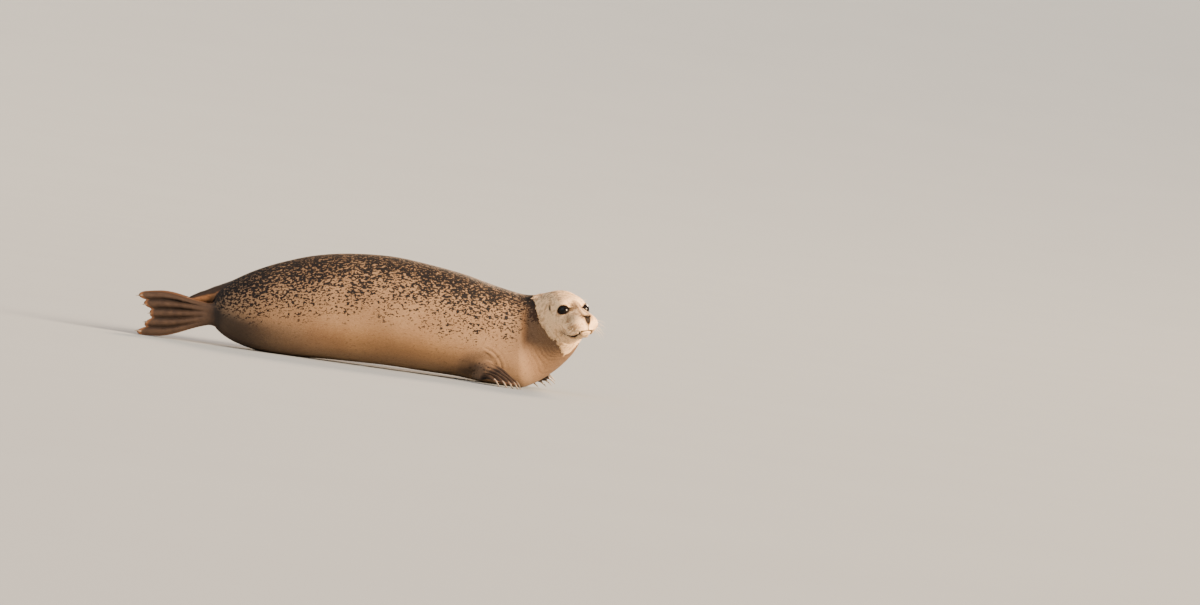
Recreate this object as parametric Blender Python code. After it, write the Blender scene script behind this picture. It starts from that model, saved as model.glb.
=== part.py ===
"""A harbor seal, life size, lying on its belly with its head turned to its right.

Run with: blender --background --python part.py
Metres, +Z up, +X towards the head, +Y the seal's left. The belly and chest rest on z = 0, and the origin
is below the middle of the animal's box.
"""

from math import cos, pi, radians, sin

import bmesh
import bpy
import numpy as np
from mathutils import Matrix

# ---------------------------------------------------------------- driving dimensions, in metres
ORIGIN_SHIFT = (-0.3237, 0.0360, 0.0)  # from the rear of the belly to the middle of the box
GAP = 0.0004  # the thin cut between two neighbouring solids
SIDES = 28  # corners round the body

# The head's own frame: its origin is midway between the eyes, and a place in it is (forward, left, up).
# The head is turned on the body first, and then leans back with it.
HEAD_PLACE = (0.993, -0.176, 0.283)
HEAD_TURN = 61.5  # degrees to the seal's right
HEAD_PITCH = 10.0  # degrees, chin up
HEAD_ROLL = 3.0  # degrees, left side up
BODY_PITCH = 8.0  # degrees, the whole animal leans back on its belly

EYE_PLACE = (-0.0080, 0.0368, -0.0010)
EYE_RADIUS = 0.0200

# The trunk, from the rump forward. Each row is one cross-section: the place (x, z) of its top, the place
# (x, z) of its bottom, its half width, how high up it is widest (0 to 1), and how full its corners are
# (2 is an ellipse).
TRUNK = (
    ("rump end", (-0.200, 0.146), (-0.204, 0.102), 0.028, 0.50, 2.0),
    ("rump", (-0.180, 0.192), (-0.190, 0.072), 0.057, 0.50, 2.1),
    ("hip", (-0.132, 0.229), (-0.152, 0.038), 0.092, 0.47, 2.1),
    ("pelvis", (-0.066, 0.2685), (-0.092, 0.012), 0.125, 0.43, 2.2),
    ("rear belly", (0.018, 0.307), (-0.008, -0.004), 0.150, 0.41, 2.2),
    ("loin", (0.122, 0.343), (0.104, -0.003), 0.168, 0.40, 2.2),
    ("waist", (0.245, 0.366), (0.236, 0.004), 0.178, 0.40, 2.2),
    ("mid back", (0.370, 0.3735), (0.370, 0.008), 0.182, 0.40, 2.2),
    ("ribs", (0.495, 0.366), (0.502, 0.008), 0.181, 0.40, 2.2),
    ("shoulder", (0.612, 0.3495), (0.628, 0.004), 0.175, 0.41, 2.2),
    ("fore chest", (0.712, 0.3285), (0.748, -0.003), 0.165, 0.42, 2.2),
    ("breast", (0.784, 0.3150), (0.840, -0.004), 0.151, 0.44, 2.1),
)

# The neck, in the same terms, with the sideways place of its top and bottom, and its turn to the right.
NECK = (
    ("lower neck", (0.830, 0.3090), (0.899, 0.016), 0.135, 0.47, 2.1, (-0.006, -0.006), 11.0),
    ("upper neck", (0.861, 0.3140), (0.940, 0.058), 0.113, 0.48, 2.1, (-0.028, -0.036), 32.0),
)

# The head, in its own frame, from the nape to the nose: top and bottom as (forward, up), half width, how
# high up it is widest, fullness.
HEAD = (
    ("nape", (-0.144, 0.083), (-0.126, -0.146), 0.096, 0.54, 2.1),
    ("crown", (-0.110, 0.082), (-0.100, -0.131), 0.082, 0.56, 2.1),
    ("skull", (-0.077, 0.077), (-0.070, -0.114), 0.073, 0.56, 2.1),
    ("brow", (-0.046, 0.066), (-0.044, -0.105), 0.067, 0.55, 2.1),
    ("eyes", (-0.017, 0.050), (-0.020, -0.101), 0.061, 0.53, 2.1),
    ("cheek", (0.009, 0.032), (0.003, -0.099), 0.055, 0.50, 2.1),
    ("muzzle root", (0.031, 0.009), (0.026, -0.098), 0.048, 0.46, 2.1),
    ("muzzle", (0.051, -0.010), (0.046, -0.096), 0.044, 0.44, 2.2),
    ("pads", (0.067, -0.023), (0.059, -0.091), 0.038, 0.46, 2.2),
    ("nose", (0.0780, -0.033), (0.0705, -0.081), 0.028, 0.50, 2.1),
    ("nose tip", (0.0815, -0.043), (0.0770, -0.065), 0.012, 0.50, 2.0),
)

# Soft forms on the head: place (forward, left, up), how far it spreads and how far it stands out. One that
# is off the middle is on both sides.
HEAD_FORMS = (
    ("whisker pad", (0.054, 0.035, -0.059), 0.016, 0.0085),
    ("cheek", (-0.020, 0.062, -0.060), 0.034, 0.0030),
    ("eye mound", (-0.002, 0.048, 0.004), 0.021, 0.0035),
    ("brow", (-0.016, 0.040, 0.038), 0.018, 0.0030),
    ("inner corner", (0.034, 0.026, -0.014), 0.013, -0.0050),
    ("lower lip", (0.020, 0.036, -0.103), 0.015, 0.0055),
    ("chin", (0.050, 0.000, -0.096), 0.013, 0.0030),
)

# The line of the closed mouth in the head's frame, from beyond the lips back to the corner, (forward, up).
MOUTH_LINE = ((0.110, -0.080), (0.064, -0.085), (0.048, -0.091), (0.024, -0.093), (-0.006, -0.085))
JAW_BACK = ((-0.012, -0.100), (-0.014, -0.118), (-0.012, -0.160), (0.110, -0.160))

# Where the body is parted, as counts of cross-sections from the rump end (fractions lie between two).
CUTS = {"pelvis": (0, 4.5), "belly": (4.5, 8), "chest": (8, 11.3), "neck": (11.3, 14), "head": (14, 24)}
RINGS_PER_SECTION = {"pelvis": 2.7, "belly": 2.0, "chest": 2.4, "neck": 3.0, "head": 3.2}

# The flippers: the root's place, the way they run, the way across their ends from the first toe to the last,
# how far they reach, how wide they are at the root and at the toes, how thick at the root, how much thinner
# at the end, how far they curl towards the palm, how far the root is turned about the run (degrees), and how
# far the claws sit above the middle of the toes.
FORE_FLIPPERS = {
    "right": {"root": (0.704, -0.128, 0.046), "along": (0.64, -0.74, -0.10), "across": (-0.74, -0.64, -0.06),
              "reach": 0.190, "wide": (0.070, 0.095), "thick": 0.036, "taper": 0.60, "curl": 10.0,
              "twist": 70.0, "mirror": -1, "above": 0.0007},
    "left": {"root": (0.761, 0.114, 0.054), "along": (0.90, 0.40, -0.10), "across": (-0.42, 0.80, -0.46),
             "reach": 0.200, "wide": (0.070, 0.094), "thick": 0.036, "taper": 0.60, "curl": 4.0,
             "twist": 40.0, "mirror": 1, "above": 0.0007},
}
FORE_TOES = (1.00, 0.99, 0.95, 0.90, 0.83)  # how far each toe reaches, first to last
HIND_FLIPPERS = {
    "right": {"root": (-0.150, -0.033, 0.105), "along": (-1.0, -0.06, -0.125), "across": (0.0, 0.0, -1.0),
              "reach": 0.300, "wide": (0.072, 0.150), "thick": 0.046, "taper": 0.62, "curl": 0.0,
              "twist": 0.0, "mirror": 1, "above": 0.0007},
    "left": {"root": (-0.150, 0.033, 0.105), "along": (-1.0, 0.06, -0.125), "across": (0.0, 0.0, -1.0),
             "reach": 0.300, "wide": (0.072, 0.150), "thick": 0.046, "taper": 0.62, "curl": 0.0,
             "twist": 0.0, "mirror": -1, "above": 0.0007},
}
HIND_TOES = (1.00, 0.91, 0.84, 0.90, 1.03)

TAIL = {"root": (-0.130, 0.0, 0.185), "along": (-0.95, 0.0, -0.29), "across": (0.0, -1.0, 0.0),
        "reach": 0.158, "wide": (0.078, 0.050), "thick": 0.072, "taper": 0.80, "curl": 0.0, "twist": 0.0,
        "mirror": 1}

# The claws: how far they stand out, how deep their root sits, how thick they are, how far they bend down.
FORE_CLAW = {"length": 0.024, "root": 0.012, "radius": 0.0034, "droop": 50.0}
HIND_CLAW = {"length": 0.014, "root": 0.010, "radius": 0.0026, "droop": 12.0}

COLOURS = {  # base colour, roughness
    "pale fur": ((0.62, 0.50, 0.36), 0.85),
    "tan fur": ((0.40, 0.30, 0.20), 0.80),
    "spotted fur": ((0.16, 0.13, 0.11), 0.70),
    "belly fur": ((0.50, 0.38, 0.24), 0.80),
    "rump fur": ((0.11, 0.09, 0.08), 0.70),
    "tail fur": ((0.16, 0.09, 0.05), 0.75),
    "flipper fur": ((0.10, 0.085, 0.075), 0.70),
    "eye": ((0.008, 0.007, 0.007), 0.08),
    "claw": ((0.45, 0.36, 0.27), 0.45),
}


# ---------------------------------------------------------------- places and directions
def unit(v):
    """The direction of a vector, or of each row of vectors."""
    v = np.asarray(v, float)
    return v / np.linalg.norm(v, axis=-1, keepdims=True)


def head_axes():
    """The head's forward, left and up directions as the columns of a matrix."""
    lean = Matrix.Rotation(-radians(BODY_PITCH), 3, "Y")
    turn = Matrix.Rotation(-radians(HEAD_TURN), 3, "Z")
    pitch = Matrix.Rotation(-radians(HEAD_PITCH), 3, "Y")
    roll = Matrix.Rotation(radians(HEAD_ROLL), 3, "X")
    return np.array(lean @ turn @ pitch @ roll)


def from_head(places):
    """Places in the head's frame, in the body's."""
    return np.array(HEAD_PLACE) + np.asarray(places, float) @ head_axes().T


def to_head(places):
    """Places in the body's frame, in the head's."""
    return (np.asarray(places, float) - np.array(HEAD_PLACE)) @ head_axes()


# ---------------------------------------------------------------- the body as one long loft
def body_sections():
    """Top, bottom and sideways vectors, widest level and fullness of every section from rump to nose."""
    rows = []
    for _, top, bottom, half, level, full in TRUNK:
        rows.append(((top[0], 0, top[1]), (bottom[0], 0, bottom[1]), (0, half, 0), level, full))
    for _, top, bottom, half, level, full, (y_top, y_bottom), turn in NECK:
        side = (half * sin(radians(turn)), half * cos(radians(turn)), 0)
        rows.append(((top[0], y_top, top[1]), (bottom[0], y_bottom, bottom[1]), side, level, full))
    left = head_axes()[:, 1]
    for _, top, bottom, half, level, full in HEAD:
        ends = from_head([(top[0], 0, top[1]), (bottom[0], 0, bottom[1])])
        rows.append((ends[0], ends[1], half * left, level, full))
    return [np.array([row[i] for row in rows], float) for i in range(5)]


def along(values, at):
    """Values at the sections carried smoothly to the places `at`, counted in sections (a cubic spline)."""
    values = np.asarray(values, float)
    slope = np.gradient(values, axis=0)
    low = np.clip(np.floor(at).astype(int), 0, len(values) - 2)
    t = (at - low).reshape((-1,) + (1,) * (values.ndim - 1))
    a, b, da, db = values[low], values[low + 1], slope[low], slope[low + 1]
    return (a * (1 + 2 * t) * (1 - t) ** 2 + da * t * (1 - t) ** 2
            + b * t * t * (3 - 2 * t) - db * t * t * (1 - t))


def body_rings(at, sides):
    """Rings of the body's surface at the places `at`, an array (rings, sides, 3), starting at the top."""
    top, bottom, side, level, full = (along(v, at) for v in body_sections())
    centre = bottom + level[:, None] * (top - bottom)
    angle = 2 * pi * np.arange(sides) / sides
    power = (2 / full)[:, None]
    across = np.sign(np.sin(angle)) * np.abs(np.sin(angle)) ** power
    height = np.sign(np.cos(angle)) * np.abs(np.cos(angle)) ** power
    reach = np.where(height[..., None] > 0, (top - centre)[:, None, :], (centre - bottom)[:, None, :])
    return centre[:, None, :] + across[..., None] * side[:, None, :] + height[..., None] * reach


def outward(rings):
    """The outward direction of the surface at every corner of the rings."""
    run = np.gradient(rings, axis=0)
    turn = np.roll(rings, -1, axis=1) - np.roll(rings, 1, axis=1)
    return unit(np.cross(run, turn) + 1e-12)


def shape_head(rings):
    """The soft forms of the face, raised or sunk square to the surface."""
    places, out = to_head(rings), outward(rings)
    lift = np.zeros(rings.shape[:2])
    for _, place, spread, height in HEAD_FORMS:
        for mirror in (1, -1) if place[1] else (1,):
            away = places - np.array(place) * (1, mirror, 1)
            lift += height * np.exp(-(away ** 2).sum(-1) / (2 * spread ** 2))
    return rings + lift[..., None] * out


def on_floor(points):
    """Points with all that would hang below the floor laid on it."""
    points = np.array(points)
    points[..., 2] = np.maximum(points[..., 2], 0)
    return points


def body_part(first, last, step, open_start, open_end):
    """The rings of one stretch of the body, drawn back by half the cut where it meets a neighbour."""
    count = max(3, int(round((last - first) * step)) + 1)
    at = np.linspace(first, last, count)
    if open_start or open_end:
        ends = body_rings(at[[0, 1, -2, -1]], 4).mean(axis=1)
        if open_start:
            at[0] += (at[1] - at[0]) * GAP / 2 / np.linalg.norm(ends[1] - ends[0])
        if open_end:
            at[-1] -= (at[-1] - at[-2]) * GAP / 2 / np.linalg.norm(ends[3] - ends[2])
    return on_floor(shape_head(body_rings(at, SIDES)))


# ---------------------------------------------------------------- meshes
def object_from(name, points, faces):
    """A new object of the model from corners and faces, with its faces turned outward."""
    mesh = bpy.data.meshes.new(name)
    mesh.from_pydata([tuple(p) for p in points], [], faces)
    work = bmesh.new()
    work.from_mesh(mesh)
    bmesh.ops.remove_doubles(work, verts=work.verts, dist=1e-6)
    bmesh.ops.recalc_face_normals(work, faces=work.faces)
    work.to_mesh(mesh)
    work.free()
    obj = bpy.data.objects.new(name, mesh)
    MODEL.objects.link(obj)
    return obj


def loft(name, rings):
    """A closed solid through rings of corners, each end closed by a fan to its middle."""
    count, sides = rings.shape[:2]
    points = list(rings.reshape(-1, 3)) + [rings[0].mean(axis=0), rings[-1].mean(axis=0)]
    faces = []
    for i in range(count - 1):
        for j in range(sides):
            k = (j + 1) % sides
            faces.append((i * sides + j, i * sides + k, (i + 1) * sides + k, (i + 1) * sides + j))
    for j in range(sides):
        k = (j + 1) % sides
        faces.append((len(points) - 2, k, j))
        faces.append((len(points) - 1, (count - 1) * sides + j, (count - 1) * sides + k))
    return object_from(name, points, faces)


def grown(obj, by, name):
    """A cutter that is a solid's own shape, larger all round by a given amount."""
    mesh = obj.data.copy()
    work = bmesh.new()
    work.from_mesh(mesh)
    work.normal_update()
    moves = [(v, v.normal * by * min(v.calc_shell_factor(), 2.0)) for v in work.verts]
    for vert, move in moves:
        vert.co += move
    work.to_mesh(mesh)
    work.free()
    cutter = bpy.data.objects.new(name, mesh)
    CUTTERS.objects.link(cutter)
    cutter.hide_render = True
    cutter.display_type = "WIRE"
    return cutter


def cut(obj, cutter, operation="DIFFERENCE"):
    """One exact cut, applied at once."""
    step = obj.modifiers.new("cut", "BOOLEAN")
    step.operation, step.solver, step.object = operation, "EXACT", cutter
    with bpy.context.temp_override(object=obj, active_object=obj):
        bpy.ops.object.modifier_apply(modifier=step.name)
    work = bmesh.new()
    work.from_mesh(obj.data)
    bmesh.ops.dissolve_degenerate(work, edges=work.edges, dist=2e-5)
    work.to_mesh(obj.data)
    work.free()


def keep_largest(obj):
    """The largest loose piece of an object, the others removed."""
    work = bmesh.new()
    work.from_mesh(obj.data)
    left, pieces = set(work.verts), []
    while left:
        piece, edge = set(), [next(iter(left))]
        while edge:
            vert = edge.pop()
            if vert in piece:
                continue
            piece.add(vert)
            edge.extend(e.other_vert(vert) for e in vert.link_edges)
        left -= piece
        pieces.append(piece)
    size = [sum(f.calc_area() for f in {f for v in p for f in v.link_faces}) for p in pieces]
    for piece, area in zip(pieces, size):
        if area < max(size):
            bmesh.ops.delete(work, geom=list(piece), context="VERTS")
    work.to_mesh(obj.data)
    work.free()


def finish(obj, colour, smooth=True):
    """A smooth surface and a material of the object's own."""
    obj.data.polygons.foreach_set("use_smooth", [smooth] * len(obj.data.polygons))
    base, rough = COLOURS[colour]
    material = bpy.data.materials.new(obj.name + "_" + colour.replace(" ", "_"))
    material.use_nodes = True
    shader = material.node_tree.nodes["Principled BSDF"]
    shader.inputs["Base Color"].default_value = (*base, 1)
    shader.inputs["Roughness"].default_value = rough
    material.diffuse_color = (*base, 1)
    obj.data.materials.clear()
    obj.data.materials.append(material)


# ---------------------------------------------------------------- head, eyes, mouth, nostrils
def ball(name, place, radius):
    """A round solid."""
    mesh = bpy.data.meshes.new(name)
    work = bmesh.new()
    bmesh.ops.create_uvsphere(work, u_segments=16, v_segments=10, radius=radius)
    work.to_mesh(mesh)
    work.free()
    obj = bpy.data.objects.new(name, mesh)
    obj.location = place
    MODEL.objects.link(obj)
    return obj


def as_cutter(obj):
    """An object moved from the model to the cutters."""
    MODEL.objects.unlink(obj)
    CUTTERS.objects.link(obj)
    obj.hide_render = True
    obj.display_type = "WIRE"
    return obj


def prism(name, outline, half_width):
    """A cutter across the head: an outline of (forward, up) places drawn out to both sides."""
    count = len(outline)
    points = from_head([(a, side * half_width, c) for side in (-1, 1) for a, c in outline])
    faces = [tuple(range(count)), tuple(range(2 * count - 1, count - 1, -1))]
    faces += [(j, (j + 1) % count, (j + 1) % count + count, j + count) for j in range(count)]
    return as_cutter(object_from(name, points, faces))


def jaw_outline(shrink):
    """The lower jaw's side outline: the mouth line and the back of the jaw, drawn inward by `shrink`."""
    a, c = np.array(MOUTH_LINE + JAW_BACK).T
    behind = np.clip((0.020 - a) / 0.030, 0, 1)
    return list(zip(a + shrink * behind, np.where(c > -0.1, c - shrink, c)))


def slit(name, side):
    """A cutter for one nostril: a thin, leaning lens-shaped slot in the front of the nose."""
    lean = radians(32)
    turn = np.linspace(0, 2 * pi, 10, endpoint=False)
    long_way, thin_way = 0.0095 * np.cos(turn), 0.0013 * np.sin(turn)
    across = side * (0.0095 + long_way * sin(lean) + thin_way * cos(lean))
    up = -0.0445 + long_way * cos(lean) - thin_way * sin(lean)
    points = from_head([(a, b, c) for a in (0.064, 0.095) for b, c in zip(across, up)])
    faces = [tuple(range(10)), tuple(range(19, 9, -1))]
    faces += [(j, (j + 1) % 10, (j + 1) % 10 + 10, j + 10) for j in range(10)]
    return as_cutter(object_from(name, points, faces))


def make_head():
    """The head with its sockets and nostrils, the lower jaw below the mouth line, and the eyes."""
    first, last = CUTS["head"]
    head = loft("head", body_part(first, last, RINGS_PER_SECTION["head"], True, False))
    for side, mirror in (("left", 1), ("right", -1)):
        place = from_head([np.array(EYE_PLACE) * (1, mirror, 1)])[0]
        cut(head, as_cutter(ball("socket_" + side, place, EYE_RADIUS + GAP)))
        finish(ball("eye_" + side, place, EYE_RADIUS), "eye")
        cut(head, slit("nostril_" + side, mirror))
    jaw = head.copy()
    jaw.data, jaw.name = head.data.copy(), "lower_jaw"
    MODEL.objects.link(jaw)
    cut(head, prism("jaw_room", jaw_outline(0.0), 0.14))
    cut(jaw, prism("jaw_shape", jaw_outline(GAP), 0.15), "INTERSECT")
    for obj in (head, jaw):
        keep_largest(obj)
        finish(obj, "pale fur")


# ---------------------------------------------------------------- flippers, tail, claws
def flipper_frame(spec, u=1.0):
    """A flipper's root place and its directions at `u`: along it, across its toes, and out of its back."""
    run = unit(spec["along"])
    across = np.array(spec["across"], float)
    across = unit(across - run * (across @ run))
    back = spec["mirror"] * np.cross(run, across)
    turn = -radians(spec["twist"]) * (1 - ease(np.asarray(u, float) / 0.8))[..., None]
    return (np.array(spec["root"], float), run, np.cos(turn) * across + np.sin(turn) * back,
            np.cos(turn) * back - np.sin(turn) * across)


def ease(t):
    """A smooth rise from 0 to 1."""
    t = np.clip(t, 0, 1)
    return t * t * (3 - 2 * t)


def fan_point(spec, toes, u, v, height):
    """A place on a flipper: u along it (0 to 1), v across it (-1 to 1), and how high off its mid sheet.

    The reach follows the toes, with a notch between two neighbours and round outer corners, and the sheet
    curls to the palm.
    """
    root, run_way, across, back = flipper_frame(spec, u)
    place = (np.asarray(v) + 1) / 2 * (len(toes) - 1)
    notch = 0.5 - 0.5 * np.cos(2 * pi * place)
    toe_reach = np.interp(place, range(len(toes)), toes) - 0.050 * notch * (len(toes) > 3)
    reach = spec["reach"] * (toe_reach - 0.13 * np.abs(v) ** 6) * u
    w_root, w_toes = spec["wide"]
    wide = (w_root + (w_toes - w_root) * ease((u - 0.12) / 0.68)) * (1 - 0.05 * u ** 8)
    curl = radians(spec["curl"]) * u ** 2
    run = reach * np.cos(curl / 2)
    drop = -reach * np.sin(curl / 2)
    return (root + run[..., None] * run_way + (wide / 2 * v)[..., None] * across
            + (drop + height)[..., None] * back)


def fan(name, spec, toes, rings=9, per_toe=3):
    """A flipper: a fan of toes in one flat, tapering blade with a shallow furrow between the toes."""
    steps = per_toe * max(len(toes) - 1, 2)
    v = -np.cos(np.linspace(0, pi, steps + 1)) * 0.35 + np.linspace(-1, 1, steps + 1) * 0.65
    u = np.linspace(0, 1, rings) ** 0.85
    u_grid, v_grid = np.meshgrid(u, v, indexing="ij")
    place = (v_grid + 1) / 2 * (len(toes) - 1)
    ridge = 0.80 + 0.20 * np.cos(2 * pi * place) if len(toes) > 3 else 1.0
    edge = np.clip(1 - np.abs(v_grid) ** 3.0, 0, 1) ** 0.5
    tip = np.clip(1 - u_grid ** 6, 0, 1) ** 0.5
    thick = (spec["thick"] / 2 * (1 - spec["taper"] * u_grid) * edge * (ridge * u_grid + (1 - u_grid))
             * tip)
    upper = fan_point(spec, toes, u_grid, v_grid, thick)
    lower = fan_point(spec, toes, u_grid, v_grid, -thick)
    ring = np.concatenate([upper, lower[:, -2:0:-1]], axis=1)
    return loft_open_tip(name, on_floor_thin(ring))


def on_floor_thin(rings):
    """Rings of a thin blade laid on the floor where they would hang below it, keeping their thickness."""
    count = rings.shape[1] // 2 + 1
    upper, lower = rings[:, :count].copy(), rings[:, count:].copy()
    other = np.concatenate([upper[:, :1], lower[:, ::-1], upper[:, -1:]], axis=1)
    low = np.minimum(upper[..., 2], other[..., 2])
    rise = np.maximum(-low, 0)
    upper[..., 2] += rise
    lower[..., 2] += rise[:, 1:-1][:, ::-1]
    return np.concatenate([upper, lower], axis=1)


def loft_open_tip(name, rings):
    """A closed blade from rings: a fan closes the root, and the last ring is zipped into a line."""
    count, sides = rings.shape[:2]
    points = list(rings.reshape(-1, 3)) + [rings[0].mean(axis=0)]
    faces = []
    for i in range(count - 1):
        for j in range(sides):
            k = (j + 1) % sides
            faces.append((i * sides + j, i * sides + k, (i + 1) * sides + k, (i + 1) * sides + j))
    for j in range(sides):
        faces.append((len(points) - 1, (j + 1) % sides, j))
    return object_from(name, points, faces)


def claw(name, place, forward, down, spec):
    """A claw: a tapering round curve that bends down, its root inside the toe."""
    t = np.linspace(0, 1, 5)
    bend = radians(spec["droop"]) * t
    length = spec["length"] + spec["root"]
    centre = (place - spec["root"] * forward + length * (t * np.cos(bend / 2))[:, None] * forward
              + length * (t * np.sin(bend / 2))[:, None] * down)
    taper = np.clip(1 - t ** 1.8, 0.12, 1)
    centre[:, 2] = np.maximum(centre[:, 2], taper * spec["radius"])
    curve = bpy.data.curves.new(name, "CURVE")
    curve.dimensions = "3D"
    curve.bevel_depth, curve.bevel_resolution, curve.use_fill_caps = spec["radius"], 1, True
    line = curve.splines.new("POLY")
    line.points.add(len(t) - 1)
    for point, place_, size in zip(line.points, centre, taper):
        point.co = (*place_, 1)
        point.radius = size
    guide = bpy.data.objects.new(name + "_curve", curve)
    MODEL.objects.link(guide)
    mesh = bpy.data.meshes.new_from_object(guide.evaluated_get(bpy.context.evaluated_depsgraph_get()))
    bpy.data.objects.remove(guide)
    work = bmesh.new()
    work.from_mesh(mesh)
    bmesh.ops.remove_doubles(work, verts=work.verts, dist=1e-6)
    bmesh.ops.recalc_face_normals(work, faces=work.faces)
    work.to_mesh(mesh)
    work.free()
    obj = bpy.data.objects.new(name, mesh)
    MODEL.objects.link(obj)
    finish(obj, "claw")
    return obj


def make_flipper(kind, side, spec, toes, claw_spec, trunk):
    """One flipper with its five claws, parted from the body."""
    name = kind + "_flipper_" + side
    blade = fan(name, spec, toes)
    down = -flipper_frame(spec)[3]
    for i in range(len(toes)):
        v = -1 + 2 * (0.09 + 0.82 * i / (len(toes) - 1))
        tip, before = fan_point(spec, toes, np.array([0.985, 0.93]), np.array([v, v]), np.zeros(2))
        low = max(-min(tip[2], before[2]), 0)
        forward = unit(tip - before)
        place = tip + (0, 0, low) - spec["above"] * down  # a little above the middle of the toe
        one = claw("%s_claw_%s_%d" % (kind, side, i + 1), place, forward, down, claw_spec)
        cut(blade, grown(one, GAP, one.name + "_room"))
    for solid in trunk:
        cut(blade, solid)
    keep_largest(blade)
    finish(blade, "flipper fur")


# ---------------------------------------------------------------- the whole animal
def start():
    """An empty file with one collection for the model and one for the cutters."""
    for obj in list(bpy.data.objects):
        bpy.data.objects.remove(obj)
    made = []
    for name in ("harbor seal", "cutters"):
        collection = bpy.data.collections.new(name)
        bpy.context.scene.collection.children.link(collection)
        made.append(collection)
    return made


def main():
    """Body, head, tail and flippers, then the origin below the middle of the box."""
    whole = loft("trunk_room", on_floor(shape_head(body_rings(np.linspace(0, CUTS["head"][0], 40), SIDES))))
    room = grown(whole, GAP, "trunk_room_grown")
    as_cutter(whole)
    for name, colour in (("pelvis", "rump fur"), ("belly", "belly fur"), ("chest", "spotted fur"),
                         ("neck", "tan fur")):
        first, last = CUTS[name]
        finish(loft(name, body_part(first, last, RINGS_PER_SECTION[name], name != "pelvis", True)), colour)
    make_head()

    tail = fan("tail", TAIL, (1.0, 1.0, 1.0))
    cut(tail, room)
    keep_largest(tail)
    finish(tail, "tail fur")
    tail_room = grown(tail, GAP, "tail_room")

    for side, spec in HIND_FLIPPERS.items():
        make_flipper("hind", side, spec, HIND_TOES, HIND_CLAW, [room, tail_room])
    for side, spec in FORE_FLIPPERS.items():
        make_flipper("fore", side, spec, FORE_TOES, FORE_CLAW, [room])

    middle = bpy.data.objects.new("middle", None)
    middle.location = ORIGIN_SHIFT
    for obj in MODEL.objects:
        obj.parent = middle
    bpy.context.scene.collection.objects.link(middle)


MODEL, CUTTERS = start()
main()
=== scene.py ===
"""The looks of a life-size harbor seal: one skin, a coat of short tufts, eyes, lids, claws and whiskers.

Metres, +Z up, +X towards the head, +Y the seal's left. The body is one tube of cross-sections from the rump
to the nose, and each flipper is a flat blade that is joined to it. A place on the tube is (at, angle): how
many cross-sections from the rump, and the angle round from the top of the back.
"""

from math import cos, pi, radians, sin

import bpy
import numpy as np
from mathutils import Matrix, Vector


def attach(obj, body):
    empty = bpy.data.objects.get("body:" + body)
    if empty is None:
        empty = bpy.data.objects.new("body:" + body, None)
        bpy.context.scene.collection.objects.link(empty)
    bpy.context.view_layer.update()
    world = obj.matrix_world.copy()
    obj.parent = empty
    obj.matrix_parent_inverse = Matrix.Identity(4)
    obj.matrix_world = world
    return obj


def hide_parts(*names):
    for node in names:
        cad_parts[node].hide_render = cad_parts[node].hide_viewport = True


bl_info = {
    "name": "Harbor Seal Model",
    "version": (1, 0, 0),
    "blender": (4, 5, 0),
    "location": "View3D > Sidebar > Seal",
    "description": "Skin, coat, eyes, claws and whiskers of a resting harbor seal",
    "category": "Object",
}

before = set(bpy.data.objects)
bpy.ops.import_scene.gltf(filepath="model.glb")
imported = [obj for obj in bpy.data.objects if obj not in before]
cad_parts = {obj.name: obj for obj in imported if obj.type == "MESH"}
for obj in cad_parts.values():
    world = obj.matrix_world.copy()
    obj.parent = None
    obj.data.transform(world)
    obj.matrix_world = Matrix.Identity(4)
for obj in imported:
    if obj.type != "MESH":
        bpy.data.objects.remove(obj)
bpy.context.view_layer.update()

# ---------------------------------------------------------------- the design, in metres
ORIGIN = np.array((-0.3232, 0.0360, 0.0))
HEAD_PLACE = np.array((0.993, -0.176, 0.283))
HEAD_TURN, HEAD_PITCH, HEAD_ROLL, BODY_PITCH = 61.5, 10.0, 3.0, 8.0
EYE_PLACE = np.array((-0.0080, 0.0368, -0.0010))
EYE_RADIUS = 0.0200
MM = 0.001
SIDES = (("left", 1), ("right", -1))
BOTH = (1, -1)
# The least height over the floor of the skin, a blade, a tuft and a whisker.
CLEAR = {"skin": 0.0012, "blade": 0.0008, "tuft": 0.0002, "whisker": 0.004}

# One cross-section of the trunk a row: top (x, z), bottom (x, z), half width, widest level, fullness.
TRUNK = (
    ((-0.200, 0.146), (-0.204, 0.102), 0.028, 0.50, 2.0),
    ((-0.180, 0.192), (-0.190, 0.072), 0.057, 0.50, 2.1),
    ((-0.132, 0.229), (-0.152, 0.038), 0.092, 0.47, 2.1),
    ((-0.066, 0.2685), (-0.092, 0.012), 0.125, 0.43, 2.2),
    ((0.018, 0.307), (-0.008, -0.004), 0.150, 0.41, 2.2),
    ((0.122, 0.343), (0.104, -0.003), 0.168, 0.40, 2.2),
    ((0.245, 0.366), (0.236, 0.004), 0.178, 0.40, 2.2),
    ((0.370, 0.3735), (0.370, 0.008), 0.182, 0.40, 2.2),
    ((0.495, 0.366), (0.502, 0.008), 0.181, 0.40, 2.2),
    ((0.612, 0.3495), (0.628, 0.004), 0.175, 0.41, 2.2),
    ((0.712, 0.3285), (0.748, -0.003), 0.165, 0.42, 2.2),
    ((0.784, 0.3150), (0.840, -0.004), 0.151, 0.44, 2.1),
)
# The neck has the same terms, the sideways place of top and bottom, and its turn to the right in degrees.
NECK = (
    ((0.830, 0.3090), (0.899, 0.016), 0.135, 0.47, 2.1, (-0.006, -0.006), 11.0),
    ((0.861, 0.3140), (0.940, 0.058), 0.113, 0.48, 2.1, (-0.028, -0.036), 32.0),
)
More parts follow.
